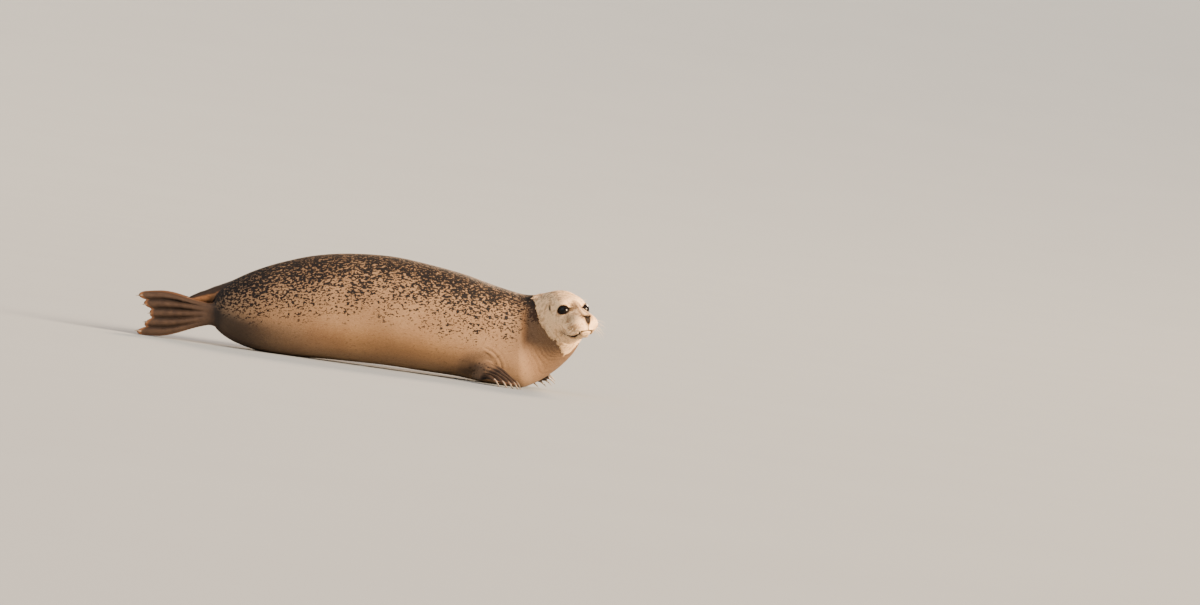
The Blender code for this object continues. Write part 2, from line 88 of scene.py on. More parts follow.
# The head, in its own frame (forward, up), from nape to nose tip.
HEAD = (
    ((-0.144, 0.083), (-0.126, -0.146), 0.096, 0.54, 2.1),
    ((-0.110, 0.082), (-0.100, -0.131), 0.082, 0.56, 2.1),
    ((-0.077, 0.077), (-0.070, -0.114), 0.073, 0.56, 2.1),
    ((-0.046, 0.066), (-0.044, -0.105), 0.067, 0.55, 2.1),
    ((-0.017, 0.050), (-0.020, -0.101), 0.061, 0.53, 2.1),
    ((0.009, 0.032), (0.003, -0.099), 0.055, 0.50, 2.1),
    ((0.031, 0.009), (0.026, -0.098), 0.048, 0.46, 2.1),
    ((0.051, -0.010), (0.046, -0.096), 0.044, 0.44, 2.2),
    ((0.067, -0.023), (0.059, -0.091), 0.038, 0.46, 2.2),
    ((0.0780, -0.033), (0.0705, -0.081), 0.028, 0.50, 2.1),
    ((0.0815, -0.043), (0.0770, -0.065), 0.012, 0.50, 2.0),
)
LAST = len(TRUNK) + len(NECK) + len(HEAD) - 1
END = LAST + 0.6  # the rounded front of the nose, past the last cross-section
HEAD_START = 15.5  # the head's own marks and tufts start at this cross-section
# How far apart the skin's rings are at some cross-sections, in millimetres: closest on the muzzle.
RING_SECTIONS = (0, 8.8, 9.2, 12.5, 15, 17, 18.5, LAST)
RING_GAPS = (8.5, 8.0, 5.5, 5.0, 2.6, 2.0, 1.25, 1.15)
TOE_SPREAD = 0.82  # how far out the middles of the outer toes are, of the half width
WEB_NOTCH = 0.085  # how far the web between two toes draws back, of the flipper's reach

# Soft forms of the head: place (forward, left, up), spread, height. One off the middle is on both sides.
HEAD_FORMS = (
    ((0.054, 0.035, -0.059), 0.016, 0.0085),  # whisker pad
    ((-0.020, 0.062, -0.060), 0.034, 0.0030),  # cheek
    ((-0.002, 0.048, 0.004), 0.021, 0.0035),  # round the eye
    ((-0.016, 0.040, 0.038), 0.018, 0.0030),  # brow
    ((0.034, 0.026, -0.014), 0.013, -0.0050),  # inner corner of the eye
    ((0.020, 0.036, -0.103), 0.015, 0.0055),  # lower lip
    ((0.054, 0.000, -0.096), 0.014, 0.0005),  # chin
    ((0.057, 0.036, -0.093), 0.013, -0.0030),  # under the front of the pads
)
MOUTH_LINE = ((0.110, -0.080), (0.064, -0.085), (0.048, -0.091), (0.024, -0.093), (-0.006, -0.085))

FLIPPERS = {
    "fore_right": {"root": (0.704, -0.128, 0.046), "along": (0.64, -0.74, -0.10),
                   "across": (-0.74, -0.64, -0.06), "reach": 0.190, "wide": (0.070, 0.095), "thick": 0.036,
                   "taper": 0.60, "curl": 10.0, "twist": 70.0, "mirror": -1},
    "fore_left": {"root": (0.761, 0.114, 0.054), "along": (0.90, 0.40, -0.10),
                  "across": (-0.42, 0.80, -0.46), "reach": 0.200, "wide": (0.070, 0.094), "thick": 0.036,
                  "taper": 0.60, "curl": 4.0, "twist": 40.0, "mirror": 1},
    "hind_right": {"root": (-0.150, -0.033, 0.105), "along": (-1.0, -0.06, -0.125),
                   "across": (0.0, 0.0, -1.0), "reach": 0.300, "wide": (0.072, 0.150), "thick": 0.046,
                   "taper": 0.62, "curl": 0.0, "twist": 0.0, "mirror": 1},
    "hind_left": {"root": (-0.150, 0.033, 0.105), "along": (-1.0, 0.06, -0.125),
                  "across": (0.0, 0.0, -1.0), "reach": 0.300, "wide": (0.072, 0.150), "thick": 0.046,
                  "taper": 0.62, "curl": 0.0, "twist": 0.0, "mirror": -1},
    "tail": {"root": (-0.130, 0.0, 0.181), "along": (-0.95, 0.0, -0.29), "across": (0.0, -1.0, 0.0),
             "reach": 0.158, "wide": (0.078, 0.050), "thick": 0.080, "taper": 0.72, "curl": 0.0,
             "twist": 0.0, "mirror": 1},
}
BLADES = tuple(FLIPPERS)
BLADE_GRID = {"fore": (36, 33), "hind": (46, 41), "tail": (36, 33)}  # rows along it and columns across it
FORE = ("fore_right", "fore_left")
# How far each toe's end reaches, as a share of the flipper's reach.
TOES = {"fore": (0.925, 0.968, 0.950, 0.895, 0.790), "hind": (0.945, 0.880, 0.815, 0.865, 0.960),
        "tail": (1.0, 1.0, 1.0)}
CLAWS = {"fore": {"length": 0.024, "root": 0.012, "radius": 0.0034, "droop": 50.0},
         "hind": {"length": 0.014, "root": 0.010, "radius": 0.0026, "droop": 12.0}}
CLAW_RISE = 0.0007

# The eye opening on the eyeball: half width, half height above and below, how far the corners run out, its
# slope towards the nose, the level of its middle, the lid's thickness, how softly it leaves the ball, and how
# far out the ball moves the skin, in eyeball radii.
LID = {"wide": 0.0208, "above": 0.0164, "below": 0.0156, "corner": 0.0060, "slope": 0.10, "level": 0.0006,
       "thick": 0.0011, "soft": 0.0015, "outer": 2.6}
EYE_SIDEWAYS, EYE_UPWARD = 38.0, 6.0  # where the eye looks, in degrees from the head's forward axis
NOSTRIL = {"out": 0.0082, "up": -0.0350, "half": 0.0082, "lean": 62.0}
EAR = np.array((-0.053, 0.065, 0.018))
WHISKER_ROWS, WHISKERS_IN_ROW = 5, 6
BROW_HAIRS = 4
WHISKER_PLACES = [(row, place) for row in range(WHISKER_ROWS) for place in range(WHISKERS_IN_ROW)]

# How far forward the dry fur of the head reaches down the neck, every 30 degrees from the nape to the throat.
DRY_EDGE = (13.15, 13.47, 14.52, 15.27, 15.66, 15.92, 14.55)

# The skin's own unwrap: the body's tile, and over it ten small tiles for the two faces of each blade.
BODY_TILE = (0.0, 0.0, 1.0, 0.66)
BLADE_TILE = {"left": 0.004, "step": 0.2, "wide": 0.19, "low": 0.68, "rise": 0.165, "high": 0.150}

# The tufts' length, width and height at some cross-sections, in millimetres: smallest on the muzzle.
TUFT_SECTIONS = (0, 10.2, 11.3, 14.5, HEAD_START, 17, 19, 21, LAST)
TUFT_SIZES = ((12.0, 12.0, 7.5, 6.0, 7.0, 6.5, 4.8, 3.6, 2.6),
              (1.9, 1.9, 1.7, 1.4, 1.4, 1.25, 1.0, 0.8, 0.6),
              (0.42, 0.36, 0.24, 0.28, 0.70, 0.60, 0.40, 0.26, 0.18))
BLADE_TUFT = (5.0, 1.2, 0.24)
BLADE_COVER = 0.40
# A tuft's corners are its root, left, middle, right and tip: its triangles, each corner's place on the tuft's
# own patch of the unwrap, and how near the tip each corner is.
TUFT_TRIS = np.array(((0, 2, 1), (0, 3, 2), (0, 1, 3), (4, 1, 2), (4, 2, 3), (4, 3, 1)))
TUFT_PATCH = 0.003 * np.array(((0.0, -0.5), (-0.5, 0.0), (0.0, 0.05), (0.5, 0.0), (0.0, 0.5)))
TUFT_TIP = np.array((0.0, 0.5, 0.5, 0.5, 1.0))
# The coat's regions on the body: name, finish, and the cross-sections each lies between.
REGIONS = (("head", "pale_fur", HEAD_START, END), ("neck", "neck_fur", 12, HEAD_START),
           ("chest", "body_fur", 9, 12), ("flank", "body_fur", 6.7, 9), ("loin", "body_fur", 4.4, 6.7),
           ("rump", "body_fur", -1, 4.4))

# Colours that are no user's choice.
BLACK = (0.0015, 0.0012, 0.0012, 1)
WARM_SPOT = (0.36, 0.17, 0.075, 1)
SHADOW_FUR = (0.088, 0.062, 0.043, 1)
FRECKLE = (0.035, 0.020, 0.014, 1)

# The lights: name, azimuth and elevation in degrees, strength, angular size in degrees, colour.
LIGHTS = (("key", 60.0, 20.0, 22.0, 26.0, (1.0, 0.73, 0.47)),
          ("fill", -40.0, 35.0, 1.2, 60.0, (0.92, 0.95, 1.0)),
          ("rim", 165.0, 24.0, 6.0, 14.0, (1.0, 0.68, 0.42)))
# What the camera looks at, how it is rolled and tilted down in degrees, and how far off it stands.
VIEW_TARGET = (0.7491, 0.0, 0.3146)
VIEW_ROLL, VIEW_DOWN, VIEW_DISTANCE = 7.948, 1.0, 24.0


# ---------------------------------------------------------------- places and directions
def unit(v):
    """The direction of a vector, or of each row of vectors."""
    v = np.asarray(v, float)
    return v / np.maximum(np.linalg.norm(v, axis=-1, keepdims=True), 1e-12)


def ease(t):
    """A smooth rise from 0 to 1: t t (3 - 2 t)."""
    t = np.clip(t, 0, 1)
    return t * t * (3 - 2 * t)


def bell(x, middle, spread):
    """A bell of height 1: exp(-((x - middle) / spread)^2)."""
    return np.exp(-((x - middle) / spread) ** 2)


def ripple(points, length, seed, count=8):
    """Soft random waves in space, about -1 to 1: a sum of sines of random directions and like lengths."""
    rng = np.random.default_rng(seed)
    ways = unit(rng.normal(size=(count, 3))) * (2 * pi / (length * rng.uniform(0.7, 1.5, (count, 1))))
    return np.sin(points @ ways.T + rng.uniform(0, 2 * pi, count)).sum(-1) / np.sqrt(count)


def head_axes():
    """The head's forward, left and up directions as the columns of a matrix."""
    lean = Matrix.Rotation(-radians(BODY_PITCH), 3, "Y")
    turn = Matrix.Rotation(-radians(HEAD_TURN), 3, "Z")
    pitch = Matrix.Rotation(-radians(HEAD_PITCH), 3, "Y")
    roll = Matrix.Rotation(radians(HEAD_ROLL), 3, "X")
    return np.array(lean @ turn @ pitch @ roll)


def from_head(places):
    """Places in the head's frame, in the body's."""
    return HEAD_PLACE + np.asarray(places, float) @ head_axes().T


def to_head(places):
    """Places in the body's frame, in the head's."""
    return (np.asarray(places, float) - HEAD_PLACE) @ head_axes()


# ---------------------------------------------------------------- the body as one long tube
def body_sections():
    """Top, bottom and sideways vectors, widest level and fullness of every section from rump to nose."""
    rows = []
    for top, bottom, half, level, full in TRUNK:
        rows.append(((top[0], 0, top[1]), (bottom[0], 0, bottom[1]), (0, half, 0), level, full))
    for top, bottom, half, level, full, (y_top, y_bottom), turn in NECK:
        side = (half * sin(radians(turn)), half * cos(radians(turn)), 0)
        rows.append(((top[0], y_top, top[1]), (bottom[0], y_bottom, bottom[1]), side, level, full))
    left = head_axes()[:, 1]
    for top, bottom, half, level, full in HEAD:
        ends = from_head([(top[0], 0, top[1]), (bottom[0], 0, bottom[1])])
        rows.append((ends[0], ends[1], half * left, level, full))
    return [np.array([row[i] for row in rows], float) for i in range(5)]


def along(values, at):
    """Values at the sections carried smoothly to the places `at`, counted in sections (a cubic spline)."""
    values = np.asarray(values, float)
    slope = np.gradient(values, axis=0)
    low = np.clip(np.floor(at).astype(int), 0, len(values) - 2)
    t = (at - low).reshape((-1,) + (1,) * (values.ndim - 1))
    a, b, da, db = values[low], values[low + 1], slope[low], slope[low + 1]
    return (a * (1 + 2 * t) * (1 - t) ** 2 + da * t * (1 - t) ** 2
            + b * t * t * (3 - 2 * t) - db * t * t * (1 - t))


def body_rings(at, angle):
    """The body's surface at places `at` and angles from the top: a superellipse about each centre. Past the
    last section the ring shrinks by a cosine and moves forward by a sine, which rounds the nose off."""
    past = np.clip((at - LAST) / (END - LAST), 0, 1) * 0.485 * pi
    top, bottom, side, level, full = (along(v, np.minimum(at, LAST)) for v in body_sections())
    centre = bottom + level[:, None] * (top - bottom)
    power = (2 / full)[:, None]
    across = np.sign(np.sin(angle)) * np.abs(np.sin(angle)) ** power
    height = np.sign(np.cos(angle)) * np.abs(np.cos(angle)) ** power
    reach = np.where(height[..., None] > 0, (top - centre)[:, None, :], (centre - bottom)[:, None, :])
    rings = centre[:, None, :] + across[..., None] * side[:, None, :] + height[..., None] * reach
    middle = (top + bottom)[:, None, :] / 2
    return (middle + (rings - middle) * np.cos(past)[:, None, None]
            + 0.0025 * np.sin(past)[:, None, None] * head_axes()[:, 0])


def outward(rings):
    """The outward direction of the surface at every corner of closed rings."""
    run = np.gradient(rings, axis=0)
    turn = np.roll(rings, -1, axis=1) - np.roll(rings, 1, axis=1)
    return unit(np.cross(run, turn) + 1e-12)


def arc_table():
    """Places from rump to nose, how far along the body's length each is, 0 to 1, and that length."""
    at = np.linspace(0, END, 1500)
    rings = body_rings(at, np.linspace(0, 2 * pi, 24, endpoint=False))
    step = np.linalg.norm(np.diff(rings, axis=0), axis=-1).mean(axis=1)
    length = np.concatenate([[0], np.cumsum(step)])
    return at, length / length[-1], length[-1]


def ring_places():
    """Places of the skin's rings: closer together from the neck to the nose."""
    at, share, length = arc_table()
    gap = np.interp(at, RING_SECTIONS, MM * np.array(RING_GAPS))
    count = np.concatenate([[0], np.cumsum(np.diff(share) * length / gap[:-1])])
    return np.interp(np.linspace(0, count[-1], int(count[-1]) + 1), count, at)


# ---------------------------------------------------------------- the face
def mouth_height(forward, sideways):
    """How high the closed mouth's line is at a place along the head: a smooth curve through its points, with
    its corner turned up and a small notch under the nose."""
    line = np.array(MOUTH_LINE[::-1])
    fine = along(line, np.linspace(0, len(line) - 1, 60))
    return (np.interp(forward, fine[:, 0], fine[:, 1]) + 0.008 * ease((0.006 - forward) / 0.018)
            + 0.0016 * bell(sideways, 0, 0.009))


def eye_frame(side):
    """The eyeball's centre and its directions: outward, towards the nose, and up, in the head's frame."""
    a, e = radians(EYE_SIDEWAYS), radians(EYE_UPWARD)
    out = np.array((cos(e) * cos(a), side * cos(e) * sin(a), sin(e)))
    nose = unit(np.array((sin(a), -side * cos(a), -0.10)))
    nose = unit(nose - out * (nose @ out))
    up = side * np.cross(nose, out)
    return EYE_PLACE * (1, side, 1), out, nose, up


def lid_edge(turn):
    """How far out the eye opening's edge is, as a share of its ellipse: 1 and more at the two corners."""
    corner = LID["corner"] / LID["wide"]
    return 1 + corner * np.clip(np.cos(turn), 0, 1) ** 10 + 0.8 * corner * np.clip(-np.cos(turn), 0, 1) ** 10


def lid_distance(places, side):
    """How far places are outside the eye opening (less than 0 inside), how far from the eyeball's centre, and
    their places across and up the opening. It is an ellipse on the eyeball, with a corner at each end."""
    centre, out, nose, up = eye_frame(side)
    away = places - centre
    far = np.linalg.norm(away, axis=-1)
    way = away / np.maximum(far, 1e-9)[..., None]
    front = np.clip(way @ out, -1, 1)
    off = np.arccos(front) * EYE_RADIUS
    x, y = way @ nose, way @ up
    flat = np.maximum(np.hypot(x, y), 1e-9)
    x, y = off * x / flat, off * y / flat
    y = y - LID["slope"] * x - LID["level"]
    high = np.where(y > 0, LID["above"], LID["below"])
    turn = np.arctan2(y / high, x / LID["wide"])
    share = np.hypot(x / LID["wide"], y / high)
    return (share - lid_edge(turn)) * (LID["above"] + LID["below"]) / 2, far, x, y


def nostril_place(places, side):
    """Places along and across one nostril's slit, in metres from its middle."""
    lean = radians(NOSTRIL["lean"])
    b = places[..., 1] - side * NOSTRIL["out"]
    c = places[..., 2] - NOSTRIL["up"]
    long_way = side * b * sin(lean) + c * cos(lean)
    return long_way, b * cos(lean) - side * c * sin(lean)


def formed_rings(at, angle):
    """The body's rings with the neck's bend eased and the soft forms of the head raised."""
    rings = eased_bend(body_rings(at, angle), at)
    places = to_head(rings)
    lift = np.zeros(places.shape[:2])
    for place, spread, height in HEAD_FORMS:
        for side in BOTH if place[1] else (1,):
            away = places - np.array(place) * (1, side, 1)
            lift += height * np.exp(-(away ** 2).sum(-1) / (2 * spread ** 2))
    return rings + lift[..., None] * outward(rings)


def face_places(at, angle):
    """Places on the head before its fine sculpting, in the head's frame, for any (at, angle) of the tube: a
    grid of the formed rings, read between its points."""
    rows, sides = np.linspace(14.5, END, 420), 240
    grid = to_head(formed_rings(rows, 2 * pi * np.arange(sides) / sides))
    r = np.clip((at - rows[0]) / (rows[1] - rows[0]), 0, len(rows) - 1.001)
    t = (angle / (2 * pi) * sides) % sides
    i, j = r.astype(int), t.astype(int) % sides
    k = (j + 1) % sides
    r, t = (r - i)[:, None], (t - t.astype(int))[:, None]
    row = (1 - t) * grid[i, j] + t * grid[i, k]
    next_row = (1 - t) * grid[i + 1, j] + t * grid[i + 1, k]
    return (1 - r) * row + r * next_row


def sculpt_face(places):
    """How far the head's surface is raised or sunk for its folds and openings, at places (forward, left, up)
    in the head's frame. Lengths are in metres, and each fold is a bell across its line."""
    a, b, c = places[..., 0], places[..., 1], places[..., 2]
    lift = np.zeros(a.shape)
    # the closed mouth: a groove, a full upper lip over it and a thin lower lip
    off = c - mouth_height(a, b)
    fade = ease((a + 0.016) / 0.012)
    lift += fade * (-0.0048 * bell(off, 0, 0.0024) + 0.0022 * bell(off, 0.0048, 0.0032)
                    + 0.0014 * bell(off, -0.0045, 0.0028))
    # a lopsided lip
    lift -= 0.0038 * np.exp(-((places - (0.058, 0.036, -0.092)) ** 2).sum(-1) / (2 * 0.014 ** 2))
    # the groove from nose to mouth, and the slit nostrils with their soft rims
    below = ease((-0.052 - c) / 0.008) * ease((c + 0.086) / 0.006) * ease((a - 0.055) / 0.010)
    lift += below * (-0.0022 * bell(b, 0, 0.0013) + 0.0006 * bell(np.abs(b), 0.004, 0.003))
    front = ease((a - 0.050) / 0.012)
    for side in BOTH:
        long_way, thin_way = nostril_place(places, side)
        inside = ease((NOSTRIL["half"] - np.abs(long_way)) / 0.003) * front
        soft_rim = 0.0009 * bell(np.abs(thin_way), 0.0042, 0.002)
        lift += inside * (soft_rim - 0.0045 * bell(thin_way, 0, 0.0018))
    # rows of whisker roots on the pads
    for row, place in WHISKER_PLACES:
        for side in BOTH:
            root = whisker_root(row, place, side)
            lift += 0.0011 * np.exp(-((places - root) ** 2).sum(-1) / (2 * 0.0016 ** 2))
    # ear holes: an upright slit with a soft rim
    for side in BOTH:
        away = places - EAR * (1, side, 1)
        slit = bell(away[..., 0] + 0.2 * away[..., 2], 0, 0.0021) * bell(away[..., 2], 0, 0.0085)
        near = bell(away[..., 1], 0, 0.030)
        rim = bell(away[..., 0] + 0.2 * away[..., 2], -0.0050, 0.0030) * bell(away[..., 2], 0, 0.011)
        lift += near * (-0.0060 * slit + 0.0022 * rim)
    # folds under the jaw and behind the cheek
    jaw = ease((-0.085 - c) / 0.02) * ease((a + 0.06) / 0.03)
    lift += jaw * 0.0011 * np.sin((c + 0.35 * a) * 2 * pi / 0.013 + 0.8 * ripple(places, 0.05, 3))
    behind = bell(a + 0.20 * (c + 0.02), -0.076, 0.014) * ease((0.02 - c) / 0.05)
    lift += 0.0017 * behind * np.sin((a + 0.20 * (c + 0.02)) * 2 * pi / 0.013 + 0.8 * ripple(places, 0.05, 4))
    return lift


def whisker_root(row, place, side):
    """A whisker's root on the pad: rows one above another, each running back and a little up."""
    back = place / (WHISKERS_IN_ROW - 1)
    return np.array((0.071 - 0.036 * back - 0.002 * row,
                     side * (0.022 + 0.026 * back ** 0.8),
                     -0.0525 - 0.0062 * row + 0.004 * back))


def shape_lids(places):
    """The head's surface laid over the eyeballs: at the opening's edge the skin lies just over the ball,
    further out it comes back to its own place, and inside the opening it drops behind the ball."""
    for side in BOTH:
        centre = eye_frame(side)[0]
        off, far, _, _ = lid_distance(places, side)
        away = places - centre
        near = far < EYE_RADIUS * LID["outer"]
        fold = 0.0012 * bell(off, 0.0030, 0.0022) - 0.0012 * bell(off, 0.0075, 0.0022)
        over, soft = EYE_RADIUS + LID["thick"] + fold, LID["soft"]
        lid = soft * np.logaddexp(far / soft, over / soft)  # a smooth maximum
        lid += (over - lid) * (1 - ease(off / 0.016)) * ease((LID["outer"] - far / EYE_RADIUS) / 0.7)
        inside = np.minimum(far, EYE_RADIUS - 0.0030)
        share = ease((off + 0.0006) / 0.0010)
        target = share * lid + (1 - share) * inside
        reach = np.where(near, target / np.maximum(far, 1e-9), 1.0)
        places = centre + away * reach[..., None]
    return places


# ---------------------------------------------------------------- skin
def coat_depth(at, angle):
    """How deep the skin lies below the tips of the coat: least on the muzzle and under the belly."""
    deep = np.interp(at, (0, 3, 11, 13, 15, 17, 19, 22, LAST), (2.4, 3.4, 3.4, 3.2, 2.6, 2.0, 1.5, 0.9, 0.5))
    low = ease((np.cos(angle) + 0.80) / 0.25)
    trunk = ease((13.0 - at) / 2.0)[:, None]
    return MM * deep[:, None] * (1 - trunk * (1 - low[None, :]) * 0.6)


def off_top(angle):
    """How far an angle is from the top of the back, in degrees: 0 to 180 on either side."""
    return np.degrees(np.abs((angle + pi) % (2 * pi) - pi))


def dry_line(angle):
    """The place where the dry fur of the head ends, round the neck from the nape to the throat."""
    return along(DRY_EDGE, off_top(angle) / 30)


def ragged(points):
    """Small uneven waves for the edge of the dry fur, in sections."""
    return 0.10 * ripple(points, 0.030, 11) + 0.10 * ripple(points, 0.012, 12)


def eased_bend(rings, at):
    """Rings with the inner side of the neck's bend smoothed: each moves towards its neighbours' mean."""
    weight = 0.5 * (ease(at - 11.2) * ease((16.6 - at) / 1.2))[1:-1, None, None]
    for _ in range(90):
        rings[1:-1] += weight * ((rings[2:] + rings[:-2]) / 2 - rings[1:-1])
    return rings


def skin_rings(at, angle):
    """The skin of body and head: the outline drawn in by the coat's depth, with the face's folds, lids, the
    step at the dry fur's edge and the soft folds of the neck."""
    rings = formed_rings(at, angle)
    lift = sculpt_face(to_head(rings)) * ease((at - 14.0) / 1.0)[:, None] - coat_depth(at, angle)
    edge = at[:, None] - dry_line(angle)[None, :] + ragged(rings)
    lift += 0.0022 * ease(edge / 0.16 + 0.5) * ease((17.5 - at) / 2.0)[:, None] - 0.0010
    neck = ease((at - 12.2) / 1.0)[:, None] * ease(-edge / 0.3)
    lift += 0.00022 * neck * np.sin(at[:, None] * 2 * pi / 0.42 + 2.0 * ripple(rings, 0.07, 21))
    lift += 0.0012 * ripple(rings, 0.16, 31) * ease((12 - at) / 3)[:, None]
    for name in FORE:  # folds round the front of each front flipper's root
        away = rings - FLIPPERS[name]["root"]
        far = np.linalg.norm(away, axis=-1)
        front = ease((away[..., 0] - 0.005) / 0.025) * ease((away[..., 2] + 0.01) / 0.02)
        lift += 0.0018 * front * bell(far, 0.066, 0.022) * np.sin(far * 2 * pi / 0.017)
    rings = rings + lift[..., None] * outward(rings)
    face = ease(at - HEAD_START)[:, None, None]
    rings = rings + face * (from_head(shape_lids(to_head(rings))) - rings)
    rings[..., 2] = np.maximum(rings[..., 2], CLEAR["skin"])
    return rings


def volume(points, faces):
    """The signed volume inside faces of three or four corners."""
    total = 0.0
    for i in range(1, faces.shape[1] - 1):
        a, b, c = points[faces[:, 0]], points[faces[:, i]], points[faces[:, i + 1]]
        total += (a * np.cross(b, c)).sum() / 6
    return total


def mesh_from(name, points, faces, uvs=None):
    """A mesh of arrays: faces is a list of (count, corners) arrays, uvs has (count, corners, 2) for each."""
    mesh = bpy.data.meshes.new(name)
    sizes = np.concatenate([np.full(len(f), f.shape[1]) for f in faces])
    corners = np.concatenate([f.ravel() for f in faces]).astype(np.int32)
    starts = np.concatenate([[0], np.cumsum(sizes)[:-1]]).astype(np.int32)
    mesh.vertices.add(len(points))
    mesh.vertices.foreach_set("co", np.asarray(points, np.float32).ravel())
    mesh.loops.add(len(corners))
    mesh.loops.foreach_set("vertex_index", corners)
    mesh.polygons.add(len(sizes))
    mesh.polygons.foreach_set("loop_start", starts)
    mesh.update(calc_edges=True)
    if uvs is not None:
        layer = mesh.uv_layers.new(name="OFBake")
        layer.uv.foreach_set("vector", np.concatenate([u.reshape(-1, 2) for u in uvs])
                             .astype(np.float32).ravel())
    mesh.polygons.foreach_set("use_smooth", np.ones(len(sizes), bool))
    return mesh


def closed_mesh(name, points, faces, uvs=None):
    """A mesh with its faces turned outward."""
    if sum(volume(points, f) for f in faces) < 0:
        faces = [f[:, ::-1] for f in faces]
        uvs = uvs and [u[:, ::-1] for u in uvs]
    return mesh_from(name, points, faces, uvs)


def piece_from(name, mesh, material, replaced=()):
    """A piece of the model: an object at the origin that rides on the body."""
    mesh.materials.clear()
    mesh.materials.append(material)
    obj = bpy.data.objects.new(name, mesh)
    bpy.context.scene.collection.objects.link(obj)
    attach(obj, "root")
    if replaced:
        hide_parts(*replaced)


def grid_faces(rows, sides, looped=False):
    """Four-cornered faces between closed rings of points; the last ring meets the first if looped."""
    i, j = np.meshgrid(np.arange(rows if looped else rows - 1), np.arange(sides), indexing="ij")
    n, k = (i + 1) % rows, (j + 1) % sides
    return np.stack([i * sides + j, i * sides + k, n * sides + k, n * sides + j], -1).reshape(-1, 4)


def end_fans(rows, sides):
    """Fans that close the first ring and the last, round two more points that follow those of the rings."""
    j = np.arange(sides)
    k, last = (j + 1) % sides, (rows - 1) * sides
    middle = np.full(sides, rows * sides)
    return np.stack([middle, k, j], -1), np.stack([middle + 1, last + j, last + k], -1)


def angle_on_tile(v):
    """The angle round the body at a place up its tile of the unwrap, whose seam is along the belly."""
    return pi + 2 * pi * v / BODY_TILE[3]


def on_tile(tile, u, v):
    """Places on one tile of the unwrap, from 0 to 1 each way."""
    return np.stack([tile[0] + tile[2] * u, tile[1] + tile[3] * v], -1)


def blade_tile(index, face):
    """The tile of one face of one flipper or of the tail."""
    t = BLADE_TILE
    return t["left"] + t["step"] * index, t["low"] + t["rise"] * face, t["wide"], t["high"]


def tube_mesh(name, at, sides):
    """The body's closed mesh, its seam along the belly, with its part of the unwrap."""
    angle = pi + 2 * pi * np.arange(sides) / sides
    rings = skin_rings(at, angle)
    count = len(at)
    points = np.concatenate([rings.reshape(-1, 3), rings[:1].mean(axis=1), rings[-1:].mean(axis=1)])
    table, share, _ = arc_table()
    u = np.interp(at, table, share)
    i, j = np.meshgrid(np.arange(count - 1), np.arange(sides), indexing="ij")
    corner_u = np.stack([u[i], u[i], u[i + 1], u[i + 1]], -1).reshape(-1, 4)
    corner_v = (np.stack([j, j + 1, j + 1, j], -1) / sides).reshape(-1, 4)
    j = np.arange(sides)
    cap_v = np.stack([(j + 0.5), (j + 1), j], -1) / sides
    rump_uv = on_tile(BODY_TILE, np.zeros((sides, 3)), cap_v)
    nose_uv = on_tile(BODY_TILE, np.ones((sides, 3)), cap_v[:, [0, 2, 1]])
    uvs = [on_tile(BODY_TILE, corner_u, corner_v), rump_uv, nose_uv]
    return closed_mesh(name, points, [grid_faces(count, sides), *end_fans(count, sides)], uvs)


# ---------------------------------------------------------------- flippers and tail
def flipper_frame(spec, u=1.0):
    """A flipper's root place and its directions at `u`: along it, across its toes, and out of its back."""
    run = unit(spec["along"])
    across = np.array(spec["across"], float)
    across = unit(across - run * (across @ run))
    back = spec["mirror"] * np.cross(run, across)
    turn = -radians(spec["twist"]) * (1 - ease(np.asarray(u, float) / 0.8))[..., None]
    return (np.array(spec["root"], float), run, np.cos(turn) * across + np.sin(turn) * back,
            np.cos(turn) * back - np.sin(turn) * across)


def toe_place(v, count):
    """A place across a flipper counted in toes, and how far it is from the nearest toe's middle: 0 to 1."""
    toe = (np.asarray(v) / TOE_SPREAD + 1) / 2 * (count - 1)
    return toe, np.clip(2 * np.abs(toe - np.round(np.clip(toe, 0, count - 1))), 0, 1)


def fan_point(spec, toes, u, v, height):
    """A place on a flipper: u along it (0 to 1), v across it (-1 to 1), and how high off its mid sheet. The
    reach follows the toes, each toe's end is round, and the sheet curls to the palm."""
    root, run_way, across, back = flipper_frame(spec, u)
    if len(toes) > 3:
        toe, off = toe_place(v, len(toes))
        toe_reach = np.interp(toe, range(len(toes)), toes) - WEB_NOTCH * (1 - np.sqrt(1 - 0.96 * off ** 2))
    else:
        toe_reach = toes[0] - 0.13 * np.abs(v) ** 6
    reach = spec["reach"] * toe_reach * u
    w_root, w_toes = spec["wide"]
    wide = (w_root + (w_toes - w_root) * ease((u - 0.12) / 0.68)) * (1 - 0.05 * u ** 8)
    curl = radians(spec["curl"]) * u ** 2
    run = reach * np.cos(curl / 2)
    drop = -reach * np.sin(curl / 2)
    return (root + run[..., None] * run_way + (wide / 2 * v)[..., None] * across
            + (drop + height)[..., None] * back)


def on_floor_thin(upper, lower):
    """A thin blade's two faces laid on the floor where they would hang below it, keeping its thickness."""
    rise = np.maximum(CLEAR["blade"] - np.minimum(upper[..., 2], lower[..., 2]), 0)
    upper[..., 2] += rise
    lower[..., 2] += rise
    return upper, lower


